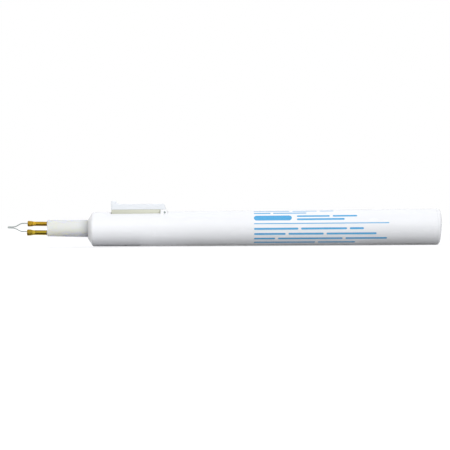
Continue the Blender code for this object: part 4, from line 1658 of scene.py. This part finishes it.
    def tube_ring(self, shape: bmesh.types.BMesh, along: float, half_width: float, half_height: float,
                  pressed: bool) -> list[bmesh.types.BMVert]:
        """Add one ring of points across a tube.

        Args:
            shape: the mesh that gets the points.
            along: place from the tube's mouth.
            half_width: half the ring's width across the pen.
            half_height: half the ring's height.
            pressed: whether the jaws' and the punch's marks show on it.

        Returns:
            The ring's points.
        """
        ring = []
        for index in range(self.tube_sides):
            angle = math.tau * (index + 0.5) / self.tube_sides
            across = half_width * math.cos(angle)
            height = half_height * math.sin(angle)
            if pressed:
                reach = min(abs(across) - self.jaw_mark(along, height), self.punched_flat(along, height))
                across = math.copysign(max(0.05 * MM, reach), across)
            ring.append(shape.verts.new((along, across, height)))
        return ring

    def build_tubes(self, finishes: dict[str, Finish]) -> None:
        """Make the two brass tubes.

        Args:
            finishes: the brass of the upper and of the lower one.
        """
        for side, height in self.sides().items():
            set_back = self.upper_set_back if side == "upper" else 0.0
            mouth = -self.shaft_reach - self.tube_reach + set_back
            swell = self.swell(side)
            place = self.space.tip() @ Matrix.Translation((mouth, 0.0, height))
            place = place @ Matrix.Diagonal((1, swell, swell, 1))
            self.workshop.piece("brass_tube_" + side, self.tube_mesh(), place, finishes[side], Body.PEN,
                                ["electrode_" + side], ROUND_CREASE)

    def wire_route(self) -> list[Point]:
        """Route of the wire in the tip's frame as (place, height), from one tail round to the other.

        Returns:
            The points that the wire passes through.
        """
        upper = self.tube_spacing / 2
        lower = -self.tube_spacing / 2
        mouth = -self.shaft_reach - self.tube_reach
        legs_up = [(mouth + self.wire_tail, upper), (mouth + 2.6 * MM, upper),
                   (mouth + 0.2 * MM, upper + 0.12 * MM),
                   (-30.4 * MM, 2.20 * MM), (-31.6 * MM, 2.16 * MM), (-32.5 * MM, 1.90 * MM),
                   (-33.45 * MM, 1.40 * MM), (-34.5 * MM, 0.82 * MM), (-35.3 * MM, 0.58 * MM),
                   (-36.4 * MM, 0.52 * MM)]
        legs_down = [(-36.4 * MM, -0.05 * MM), (-35.7 * MM, -0.10 * MM), (-34.75 * MM, -0.40 * MM),
                     (-33.85 * MM, -0.84 * MM), (-32.85 * MM, -1.32 * MM), (-31.9 * MM, -1.63 * MM),
                     (-30.6 * MM, -1.66 * MM), (mouth + 0.2 * MM, lower + 0.38 * MM),
                     (mouth + 2.6 * MM, lower), (mouth + self.wire_tail, lower)]
        middle = (legs_up[-1][1] + legs_down[0][1]) / 2
        half = (legs_up[-1][1] - legs_down[0][1]) / 2
        bend = arc((-self.wire_end + self.wire_radius + half, middle), half, 90, 270, 8)
        return legs_up + bend + legs_down

    def build_wire(self, finish: Finish) -> None:
        """Make the heater wire as one loop.

        Args:
            finish: the resistance alloy.
        """
        path = [(along, 0.0, height) for along, height in self.wire_route()]
        mesh = self.workshop.swept(path, self.wire_radius, finish, sides=24, spacing=0.08 * MM)
        self.workshop.piece("heater_loop", mesh, self.space.tip(), finish, Body.PEN, ["heater_wire"],
                            ROUND_CREASE)


@dataclass
class Button(Part):
    """The button: a white cap on a cream lever that turns on the hinge pin."""

    front: float = 11.12 * MM
    length: float = 26.11 * MM
    width: float = 7.0 * MM
    skirt: float = 9.28 * MM
    top: float = 11.95 * MM
    edge: float = 0.42 * MM
    crown: float = 0.10 * MM
    rear_slope: float = 0.80 * MM
    bump_height: float = 1.6 * MM
    bump_length: float = 1.9 * MM
    bump_runout: float = 2.2 * MM
    bump_corner: float = 0.55 * MM
    wall: float = 0.9 * MM
    lever_side_inset: float = 0.08 * MM
    lever_front_inset: float = 0.10 * MM
    lever_rear_inset: float = 2.75 * MM
    lever_corner: float = 0.60 * MM
    lever_rear_corner: float = 0.40 * MM
    lever_roof: float = 1.0 * MM
    tongue_height: float = 1.3 * MM
    hook_front: float = 8.98 * MM
    hook_width: float = 4.0 * MM
    hook_thickness: float = 1.3 * MM
    hook_top: float = 6.9 * MM
    rib_middle: float = 20.53 * MM
    rib_thickness: float = 2.0 * MM
    rib_width: float = 3.0 * MM
    rib_bottom: float = 2.08 * MM
    eye_radius: float = 1.12 * MM
    eye_hole: float = 0.65 * MM
    pin_radius: float = 0.5 * MM
    pin_edge: float = 0.16 * MM
    slide: float = 0.15 * MM
    seam: float = 0.015 * MM

    def rear(self) -> float:
        """Place of the cap's rear edge."""
        return self.front + self.length

    def cap_outline(self) -> list[Point]:
        """Side outline of the cap with its finger stop.

        Returns:
            The outline's points of (place, height).
        """
        bump_top = self.top + self.bump_height
        rear = self.rear()
        corner = self.bump_corner
        draw_in = 0.02 * MM
        draw_top = self.skirt + 0.1 * MM
        flat_rear = rear - self.rear_slope - corner
        flat_front = self.front + self.bump_length + self.bump_runout
        outline = [(rear - draw_in, self.skirt), (rear, draw_top)]
        outline += arc((flat_rear, self.top - corner), corner, 25, 90, 6)
        outline += [(along, self.top) for along in spaced(flat_rear, flat_front, 2.5 * MM)[1:-1]]
        steps = 14
        for step in range(steps):
            share = 1 - step / steps
            outline.append((self.front + self.bump_length + self.bump_runout * share,
                            self.top + (self.bump_height - 0.05 * MM) * (1 - share) ** 2))
        crest = (self.front + self.bump_length - 0.75 * corner, bump_top - corner)
        outline += arc(crest, corner, 40, 90, 3)
        outline += arc((self.front + corner, bump_top - corner), corner, 90, 180, 7)
        outline += [(self.front, height) for height in spaced(bump_top - corner, draw_top, 1.0 * MM)[1:]]
        outline.append((self.front + draw_in, self.skirt))
        return outline

    def pillow(self, outline: Sequence[Point]) -> Mesh:
        """A side outline made solid across the pen, with its sides rounded and its top crowned.

        Args:
            outline: the side outline.

        Returns:
            The closed mesh.
        """
        half = self.width / 2
        rounding = [half - self.edge * (1 - math.sin(math.radians(angle))) for angle in range(0, 91, 15)]
        flat = spaced(0.0, half - self.edge, 0.8 * MM)
        sides = sorted({*(-place for place in rounding + flat), *rounding, *flat})
        shape = bmesh.new()
        rows = []
        for across in sides:
            over = max(0.0, abs(across) - (half - self.edge))
            inset = self.edge - math.sqrt(max(0.0, self.edge ** 2 - over ** 2))
            sag = self.crown * (across / half) ** 2
            row = []
            for before, (along, height) in zip(outline, inset_outline(outline, inset)):
                drop = sag * max(0.0, (height - self.skirt) / (self.top - self.skirt))
                low = self.skirt if before[1] < self.skirt + 0.05 * MM else height - drop
                row.append(shape.verts.new((along, across, low)))
            rows.append(row)
        for row, following in zip(rows, rows[1:]):
            join_rings(shape, row, following)
        shape.faces.new(rows[0])
        shape.faces.new(rows[-1][::-1])
        bmesh.ops.recalc_face_normals(shape, faces=shape.faces)
        return as_mesh(shape, "pillow")

    def build_cap(self, finish: Finish) -> None:
        """Make the white cap, hollow underneath.

        Args:
            finish: the plastic.
        """
        mesh = self.pillow(self.cap_outline())
        hollow = slab(block((self.front + self.wall, self.skirt - self.wall),
                            (self.rear() - self.rear_slope - self.wall, self.top - self.wall)),
                      self.width - 2 * self.wall)
        mesh = combine(mesh, [hollow], Cut.REMOVE)
        self.workshop.piece("button_top", mesh, self.space.pen(), finish, Body.BUTTON, ["button_cap"], 30.0)

    def lever_block(self, low: float, high: float) -> Mesh:
        """The lever's box with upright round corners.

        Args:
            low: height of its underside.
            high: height of its top.

        Returns:
            The closed mesh.
        """
        front = self.front + self.lever_front_inset
        rear = self.rear() - self.lever_rear_inset
        half = self.width / 2 - self.lever_side_inset
        corner = self.lever_corner
        small = self.lever_rear_corner
        plan = arc((rear - small, half - small), small, 0, 90, 8)
        plan += arc((front + corner, half - corner), corner, 90, 180, 8)
        plan += arc((front + corner, -half + corner), corner, 180, 270, 8)
        plan += arc((rear - small, -half + small), small, 270, 360, 8)
        mesh = grown("lever_block", [(along, across, low) for along, across in plan], (0.0, 0.0, high - low))
        return bevelled(mesh, 0.12 * MM, 3, 60)

    def build_lever(self, finish: Finish) -> None:
        """Make the cream lever with its tongue, hook, rib and hinge eye.

        Args:
            finish: the plastic.
        """
        pin_height = self.space.pin[1]
        front = self.front + self.lever_front_inset
        rear = self.rear() - self.lever_rear_inset
        wall = self.wall
        bottom = self.hook_top - self.hook_thickness
        seat = self.skirt - self.seam
        lever_width = self.width - 2 * self.lever_side_inset
        root = seat - self.lever_roof / 2
        room_outline = block((front + wall, bottom - wall), (rear - wall, seat - self.lever_roof))
        room = slab(room_outline, lever_width - 2 * wall)
        mesh = combine(self.lever_block(bottom, seat), [room], Cut.REMOVE)

        tongue_front = self.front + wall + self.slide
        tongue_rear = min(self.rear() - self.rear_slope - wall - self.slide, rear - wall)
        tongue = slab(block((tongue_front, root), (tongue_rear, seat + self.tongue_height)),
                      self.width - 2 * wall - 2 * self.slide)
        hook = slab(block((self.hook_front, bottom), (front + wall / 2, self.hook_top)), self.hook_width)
        half_rib = self.rib_thickness / 2
        rib_front = self.rib_middle - half_rib
        rib_rear = self.rib_middle + half_rib
        rib = slab(block((rib_front, self.rib_bottom), (rib_rear, root)), self.rib_width)
        arm_front = rear - wall / 2
        arm_outline = arc(self.space.pin, self.eye_radius, -90, 90, 20)
        arm_outline += [(arm_front, pin_height + self.eye_radius), (arm_front, pin_height - self.eye_radius)]
        arm = slab(arm_outline, lever_width - wall / 2)
        parts = [bevelled(part, 0.1 * MM, 3, 50) for part in (tongue, hook, rib, arm)]
        mesh = combine(mesh, parts, Cut.JOIN)

        hole = self.workshop.rod(-lever_width, lever_width, self.eye_hole, 40, finish)
        hole.transform(self.space.hinge())
        mesh = combine(mesh, [hole], Cut.REMOVE)
        self.workshop.piece("button_arm", mesh, self.space.pen(), finish, Body.BUTTON,
                            ["button_lever"], 30.0)

    def build_pin(self, finish: Finish, half_length: float) -> None:
        """Make the hinge pin with its rounded ends.

        Args:
            finish: the steel.
            half_length: half the pin's length.
        """
        mesh = self.workshop.rod(-half_length, half_length, self.pin_radius, 40, finish, self.pin_edge, 5)
        place = self.space.pen() @ self.space.hinge()
        self.workshop.piece("hinge_rod", mesh, place, finish, Body.PEN, ["hinge_pin"])


def inset_outline(outline: Sequence[Point], inset: float) -> list[Point]:
    """A closed outline moved inwards, to its left as its points run.

    Args:
        outline: the outline's points, which run against the clock.
        inset: how far it moves.

    Returns:
        The moved points.
    """
    moved = []
    count = len(outline)
    for index in range(count):
        here = Vector(outline[index])
        back = (here - Vector(outline[index - 1])).normalized()
        ahead = (Vector(outline[(index + 1) % count]) - here).normalized()
        inwards = Vector((-back.y, back.x)) + Vector((-ahead.y, ahead.x))
        moved.append(tuple(here + inwards * inset / (1 + back.dot(ahead))))
    return moved


@dataclass
class PowerTrain(Part):
    """What lies inside the barrel: leads, contacts, cells and their spring."""

    leaf_thickness: float = 0.25 * MM
    leaf_nose: float = 3.0 * MM
    leaf_foot: float = 5.0 * MM
    leaf_hole: float = 0.75 * MM
    leaf_pressed: float = 0.44
    plate_edge: float = 0.1 * MM
    lead_radius: float = 0.5 * MM

    def profile_of_cell(self, length: float) -> list[Point]:
        """Profile of a cell with its raised end in front.

        Args:
            length: the cell's length.

        Returns:
            The profile's points.
        """
        nub_length = 1.2 * MM
        nub_radius = 2.7 * MM
        radius = 7.0 * MM
        corners = [(0, 0, 0), (0, nub_radius, 0.35 * MM), (nub_length, nub_radius, 0.2 * MM),
                   (nub_length, radius - 0.9 * MM, 0), (nub_length - 0.1 * MM, radius - 0.6 * MM, 0.1 * MM),
                   (nub_length, radius, 0.35 * MM), (length, radius, 0.5 * MM),
                   (length, radius - 1.2 * MM, 0), (length - 0.2 * MM, radius - 1.5 * MM, 0),
                   (length - 0.2 * MM, 0, 0)]
        return rounded_profile(corners, 5)

    def build_cells(self, finish: Finish) -> None:
        """Make the two cells.

        Args:
            finish: the sleeve.
        """
        for name in ("cell_front", "cell_rear"):
            low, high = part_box(name)
            mesh = self.workshop.turned(self.profile_of_cell(high.x - low.x), 96, finish)
            place = Matrix.Translation((low.x, 0.0, self.space.axis))
            self.workshop.piece(name + "_sleeved", mesh, place, finish, Body.PEN, [name])

    def build_spring(self, finish: Finish) -> None:
        """Wind the battery spring.

        Args:
            finish: the plated steel.
        """
        low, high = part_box("battery_spring")
        wire = 0.35 * MM
        values = {"Turns": 5.0, "Front Radius": 3.0 * MM, "Rear Radius": 4.6 * MM,
                  "Length": high.x - low.x - 2 * wire, "Wire Radius": wire, "Steps per Turn": 48,
                  "Sides": 16}
        mesh = self.workshop.coiling.run([(0.0, 0.0, 0.0), (wire, 0.0, 0.0)], False, values, finish)
        place = Matrix.Translation((low.x + wire, 0.0, self.space.axis))
        self.workshop.piece("cell_spring", mesh, place, finish, Body.PEN, ["battery_spring"], ROUND_CREASE)

    def build_plates(self, finish: Finish) -> None:
        """Make the round contact plates with their soft edges.

        Args:
            finish: the plated steel.
        """
        for name in ("positive_plate", "spring_plate"):
            low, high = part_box(name)
            mesh = self.workshop.rod(0, high.x - low.x, (high.z - low.z) / 2, 96, finish, self.plate_edge)
            place = Matrix.Translation((low.x, 0.0, self.space.axis))
            self.workshop.piece(name + "_disc", mesh, place, finish, Body.PEN, [name])

    def build_studs(self, finish: Finish) -> None:
        """Make the leaf's rivet and the stud below the leaf.

        Args:
            finish: the brass.
        """
        shank = 0.6 * MM
        heads = {"leaf_rivet": 1.1 * MM, "fixed_contact": 1.3 * MM}
        head_heights = {"leaf_rivet": 0.4 * MM, "fixed_contact": None}
        seat = -0.4 * MM
        for name, head in heads.items():
            low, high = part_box(name)
            height = high.z - low.z
            head_height = head_heights[name] or high.z - self.space.axis - seat
            corners = [(0, 0, 0), (0, shank, 0.1 * MM), (height - head_height, shank, 0),
                       (height - head_height, head, 0.05 * MM), (height, head, 0.3 * min(head_height, head)),
                       (height, 0, 0)]
            mesh = self.workshop.turned(rounded_profile(corners), 40, finish)
            middle = (low.x + high.x) / 2
            place = self.space.standing(middle - self.space.nose, low.z - self.space.axis)
            self.workshop.piece(name + "_turned", mesh, place, finish, Body.PEN, [name])

    def leaf_outline(self) -> list[Point]:
        """Side outline of the bowed contact strip.

        Returns:
            The outline's points of (place, height).
        """
        low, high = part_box("contact_leaf")
        foot = low.z - self.space.axis
        lift = high.z - low.z - self.leaf_thickness
        rib = low.x - self.space.nose + self.leaf_nose
        end = high.x - self.space.nose
        span = end - self.leaf_foot - rib
        steps = 16
        lower = [(rib - self.leaf_nose, foot + 0.65 * lift),
                 (rib - 0.5 * self.leaf_nose, foot + 0.92 * lift)]
        for step in range(steps + 1):
            height = foot + lift * (1 + math.cos(math.pi * step / steps)) / 2
            lower.append((rib + span * step / steps, height))
        lower.append((end, foot))
        upper = []
        for index, point in enumerate(lower):
            before = lower[max(index - 1, 0)]
            after = lower[min(index + 1, len(lower) - 1)]
            run = (Vector(after) - Vector(before)).normalized()
            upper.append((point[0] - run.y * self.leaf_thickness, point[1] + run.x * self.leaf_thickness))
        return lower + upper[::-1]

    def build_leaf(self, finish: Finish) -> None:
        """Make the contact strip, which on the real pen flattens as the button goes down; here it keeps its
        bowed shape.

        Args:
            finish: the bronze.
        """
        low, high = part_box("contact_leaf")
        mesh = bevelled(slab(self.leaf_outline(), high.y - low.y), 0.05 * MM, 2, 50)
        rivet_low, rivet_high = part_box("leaf_rivet")
        drill = self.workshop.rod(-2 * MM, 2 * MM, self.leaf_hole, 32, finish)
        rivet = (rivet_low.x + rivet_high.x) / 2 - self.space.nose
        drill.transform(self.space.standing(rivet, low.z - self.space.axis))
        mesh.transform(self.space.pen())
        mesh = combine(mesh, [drill], Cut.REMOVE)
        strip = self.workshop.piece("contact_strip", mesh, Matrix(), finish, Body.PEN, ["contact_leaf"])
        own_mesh(strip)

    def lead_routes(self) -> dict[str, list[Triple]]:
        """Points that the two leads pass through, in millimetres.

        Returns:
            The points of each lead, by the name of its solid.
        """
        positive = [(13.25, 0.0, 2.24), (15.0, 0.9, 2.24), (17.0, 3.2, 1.45), (20.0, 4.2, 0.75),
                    (28.53, 4.2, 0.75), (42.7, 4.2, 0.75), (48.75, 4.2, 0.75)]
        switch = [(13.25, 0.0, -1.89), (14.4, -0.6, -1.19), (15.4, -1.9, 0.45), (18.0, -4.2, 0.75),
                  (24.53, -4.2, 0.25), (29.78, -2.75, 0.25), (32.28, -2.75, 0.25)]
        return {"lead_positive": positive, "lead_switch": switch}

    def build_leads(self, finish: Finish) -> None:
        """Run the two insulated leads.

        Args:
            finish: the insulation.
        """
        for name, route in self.lead_routes().items():
            path = [(along * MM, across * MM, height * MM) for along, across, height in route]
            mesh = self.workshop.swept(path, self.lead_radius, finish, sides=20, spacing=0.3 * MM)
            self.workshop.piece(name + "_sleeve", mesh, self.space.pen(), finish, Body.PEN, [name],
                                ROUND_CREASE)


@dataclass(frozen=True)
class Softbox:
    """A large soft lamp that points at the pen.

    Its elevation is measured from the floor on the camera's side, over the top.
    """

    name: str
    elevation: float
    width: float
    height: float
    power: float
    colour: Colour = (1.0, 1.0, 1.0)
    along: float = 0.0
    distance: float = 2.5
    in_gloss: bool = True

    def build(self) -> None:
        """Make the lamp."""
        lamp = bpy.data.lights.new(self.name, "AREA")
        lamp.shape = "RECTANGLE"
        lamp.size = self.width
        lamp.size_y = self.height
        lamp.energy = self.power
        lamp.color = self.colour
        item = linked(self.name, lamp)
        angle = math.radians(self.elevation)
        place = Vector((self.along, -self.distance * math.cos(angle), self.distance * math.sin(angle)))
        back = place.normalized()
        side = Vector((1.0, 0.0, 0.0))
        side = (side - back * side.dot(back)).normalized()
        item.matrix_world = (Matrix.Translation(place)
                             @ Matrix((side, back.cross(side), back)).transposed().to_4x4())
        item.visible_camera = False
        item.visible_glossy = self.in_gloss


@dataclass(frozen=True)
class Card:
    """A card on the floor that the camera doesn't see.

    It either paints a dark band of reflected shade into the metal, or changes how much light comes up from
    the floor there.
    """

    name: str
    low: Point
    high: Point
    colour: Colour
    in_gloss: bool = False
    fading: float = 12.0
    lift: float = 0.5 * MM

    def cover(self, sketch: ShaderSketch) -> Socket:
        """How much of the card there is, which fades out towards its ends and its far edge.

        From below there is none of it, so the floor under it keeps its light.

        Args:
            sketch: the card's material.

        Returns:
            The socket with the cover, from 0 to 1.
        """
        place = sketch.axes()
        left = self.low[0] / MM
        right = self.high[0] / MM
        far = self.low[1] / MM
        ends = sketch.math("MULTIPLY", sketch.remap(place["X"], (left, left + self.fading)),
                           sketch.remap(place["X"], (right, right - self.fading)))
        below = sketch.add("ShaderNodeNewGeometry").outputs["Backfacing"]
        from_above = sketch.math("SUBTRACT", 1.0, below)
        across = sketch.remap(place["Y"], (far, far + self.fading))
        return sketch.math("MULTIPLY", from_above, sketch.math("MULTIPLY", ends, across))

    def build(self) -> None:
        """Lay the card."""
        mesh = bpy.data.meshes.new(self.name)
        corners = [(along, across, self.lift) for along, across in block(self.low, self.high)]
        mesh.from_pydata(corners, [], [(0, 1, 2, 3)])
        sketch = ShaderSketch(self.name)
        sketch.dress(Base_Color=(*self.colour, 1.0), Roughness=0.9, Specular_IOR_Level=0.0)
        if not self.in_gloss:
            sketch.dress(Alpha=self.cover(sketch))
        mesh.materials.append(sketch.material)
        card = linked(self.name, mesh)
        card.visible_camera = False
        card.visible_glossy = self.in_gloss
        card.visible_diffuse = not self.in_gloss
        card.visible_shadow = False


@dataclass
class Studio:
    """Plain pale floor, soft lamps and the camera."""

    space: PenSpace
    distance: float = 0.8
    frame_width: float = 215.1 * MM
    middle: float = 0.3 * MM
    lift: float = 1.57 * MM
    roll: float = math.radians(0.4274)
    sensor: float = 36.0
    sky: Colour = (0.290, 0.300, 0.316)
    floor_colour: Colour = (0.48, 0.48, 0.488)
    floor_glow: float = 0.55
    floor_half: float = 6.0
    # The cards paint light and shade onto the pen: band_card and mouth_card are dark sheets that paint the
    # floor's shade into the brass as dark bands; warm_card adds warm light under the tip, front_card adds
    # light by the nose, and middle_card and rear_card take light away under the barrel.
    cards: tuple[Card, ...] = (
        Card("band_card", (-0.0935, -0.030), (-0.04, -0.0015), (0.12, 0.12, 0.12), in_gloss=True),
        Card("mouth_card", (-0.16, -0.030), (-0.0935, -0.0015), (0.34, 0.34, 0.34), in_gloss=True),
        Card("warm_card", (-0.16, -0.05), (-0.072, -0.001), (0.82, 0.78, 0.66)),
        Card("front_card", (-0.076, -0.156), (-0.024, -0.02), (0.75, 0.75, 0.75)),
        Card("middle_card", (-0.026, -0.046), (0.071, -0.001), (0.41, 0.41, 0.41)),
        Card("rear_card", (0.059, -0.046), (0.26, -0.001), (0.35, 0.35, 0.35)),
    )
    softboxes: tuple[Softbox, ...] = (
        Softbox("key_softbox", 33.0, 3.0, 1.1, 26.8, along=0.15, distance=1.5, in_gloss=False),
        Softbox("rear_softbox", 120.0, 3.0, 1.0, 10.0, distance=1.5, in_gloss=False),
        Softbox("back_softbox", 152.0, 3.0, 0.9, 5.5, distance=1.5, in_gloss=False),
        Softbox("strip", 50.0, 2.6, 0.10, 1.2, distance=1.8),
    )

    def build_floor(self) -> None:
        """Make the floor, which looks white but keeps the pen's shadow."""
        shape = bmesh.new()
        bmesh.ops.create_grid(shape, x_segments=8, y_segments=8, size=self.floor_half)
        mesh = as_mesh(shape, "floor")
        sketch = ShaderSketch("floor_paper")
        place = sketch.add("ShaderNodeTexCoord").outputs["Object"]
        distance = sketch.add("ShaderNodeVectorMath", {0: place}, operation="LENGTH").outputs["Value"]
        far = sketch.remap(distance, (0.8, 2.5), (self.floor_glow, 1.0))
        fibres = sketch.noise(sketch.millimetres(), 1.5, 3.0)
        sketch.dress(Base_Color=(*self.floor_colour, 1.0), Emission_Color=(1.0, 1.0, 1.0, 1.0),
                     Emission_Strength=sketch.math("MULTIPLY", far, sketch.seen()), Specular_IOR_Level=0.0,
                     Roughness=sketch.remap(fibres, (0.3, 0.7), (0.85, 0.95)))
        mesh.materials.append(sketch.material)
        floor = linked("floor", mesh)

    def build_sky(self) -> None:
        """Make the surroundings, which look white and light the pen softly."""
        world = bpy.data.worlds.new("white_room")
        world.use_nodes = True
        sketch = Sketch(world.node_tree)
        world.node_tree.nodes.clear()
        colour = sketch.add("ShaderNodeMix", {"Factor": sketch.seen()}, data_type="RGBA")
        colour.inputs[6].default_value = (*self.sky, 1.0)
        colour.inputs[7].default_value = (1.0, 1.0, 1.0, 1.0)
        background = sketch.add("ShaderNodeBackground", {"Color": colour.outputs[2], "Strength": 1.0})
        sketch.add("ShaderNodeOutputWorld", {"Surface": background.outputs[0]})
        bpy.context.scene.world = world

    def build_camera(self) -> None:
        """Look level at the pen's side."""
        data = bpy.data.cameras.new("camera")
        data.sensor_width = self.sensor
        data.lens = self.sensor * self.distance / self.frame_width
        data.clip_start = 0.01
        data.clip_end = 30.0
        item = linked("camera", data)
        place = Matrix.Translation((self.middle, -self.distance, self.space.axis + self.lift))
        level = place @ Matrix.Rotation(math.pi / 2, 4, "X")
        item.matrix_world = level @ Matrix.Rotation(-self.roll, 4, "Z")
        bpy.context.scene.camera = item

    def build(self) -> None:
        """Make the whole studio."""
        self.build_camera()
        self.build_floor()
        for card in self.cards:
            card.build()
        self.build_sky()
        for softbox in self.softboxes:
            softbox.build()
        bpy.context.scene.view_settings.view_transform = "Standard"
        LOG.info("studio: %d lamps", len(self.softboxes))


def dress_solids(nodes: dict[str, bpy.types.Object], looks: Looks) -> None:
    """Give the solids that stay in view their finishes.

    Args:
        nodes: the frame's solids.
        looks: the finishes.
    """
    kept = {"switch_carrier": looks.cream, "bulkhead": looks.cream, "return_strip": looks.plated}
    for name, finish in kept.items():
        mesh = nodes[name].data
        mesh.materials.clear()
        mesh.materials.append(finish.material())
        LOG.info("%s: the solid itself, in %s", name, finish.slot.value)


def main() -> None:
    """Build the studio and every piece of the pen."""
    logging.basicConfig(level=logging.INFO, format="%(message)s")
    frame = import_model()
    space = PenSpace.measured(frame["joints"])
    cells = tuple(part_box(name)[0].x / MM for name in ("cell_front", "cell_rear"))
    looks = Looks(space.axis, cells)
    workshop = Workshop(space)

    Studio(space).build()

    barrel_low, barrel_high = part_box("barrel")
    cap_low, cap_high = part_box("end_cap")
    rear_radius = (cap_high.z - cap_low.z) / 2
    length = barrel_high.x - barrel_low.x
    draft = 0.43 * MM
    seam = 0.1 * MM
    dome_set_back = 0.22 * MM
    pin_reach = 0.02 * MM
    barrel = Barrel(workshop, length, rear_radius - draft, rear_radius)
    barrel.build(looks.barrel)
    cap_depth = cap_high.x - barrel_high.x - seam - dome_set_back
    EndCap(workshop, length + seam, cap_depth, rear_radius).build(looks.white)

    tip = Tip(workshop)
    tip.build_shaft(looks.cream)
    tip.build_tubes({"upper": looks.brass, "lower": looks.yellow_brass})
    tip.build_wire(looks.heater)

    button = Button(workshop)
    button.build_cap(looks.button)
    button.build_lever(looks.lever)
    button.build_pin(looks.pin, barrel.ear_reach(space.pin[1]) + pin_reach)

    power = PowerTrain(workshop)
    power.build_cells(looks.cell)
    power.build_spring(looks.plated)
    power.build_plates(looks.plated)
    power.build_studs(looks.brass)
    power.build_leads(looks.lead)
    power.build_leaf(looks.bronze)
    dress_solids(frame["nodes"], looks)


if __name__ == "__main__":
    main()
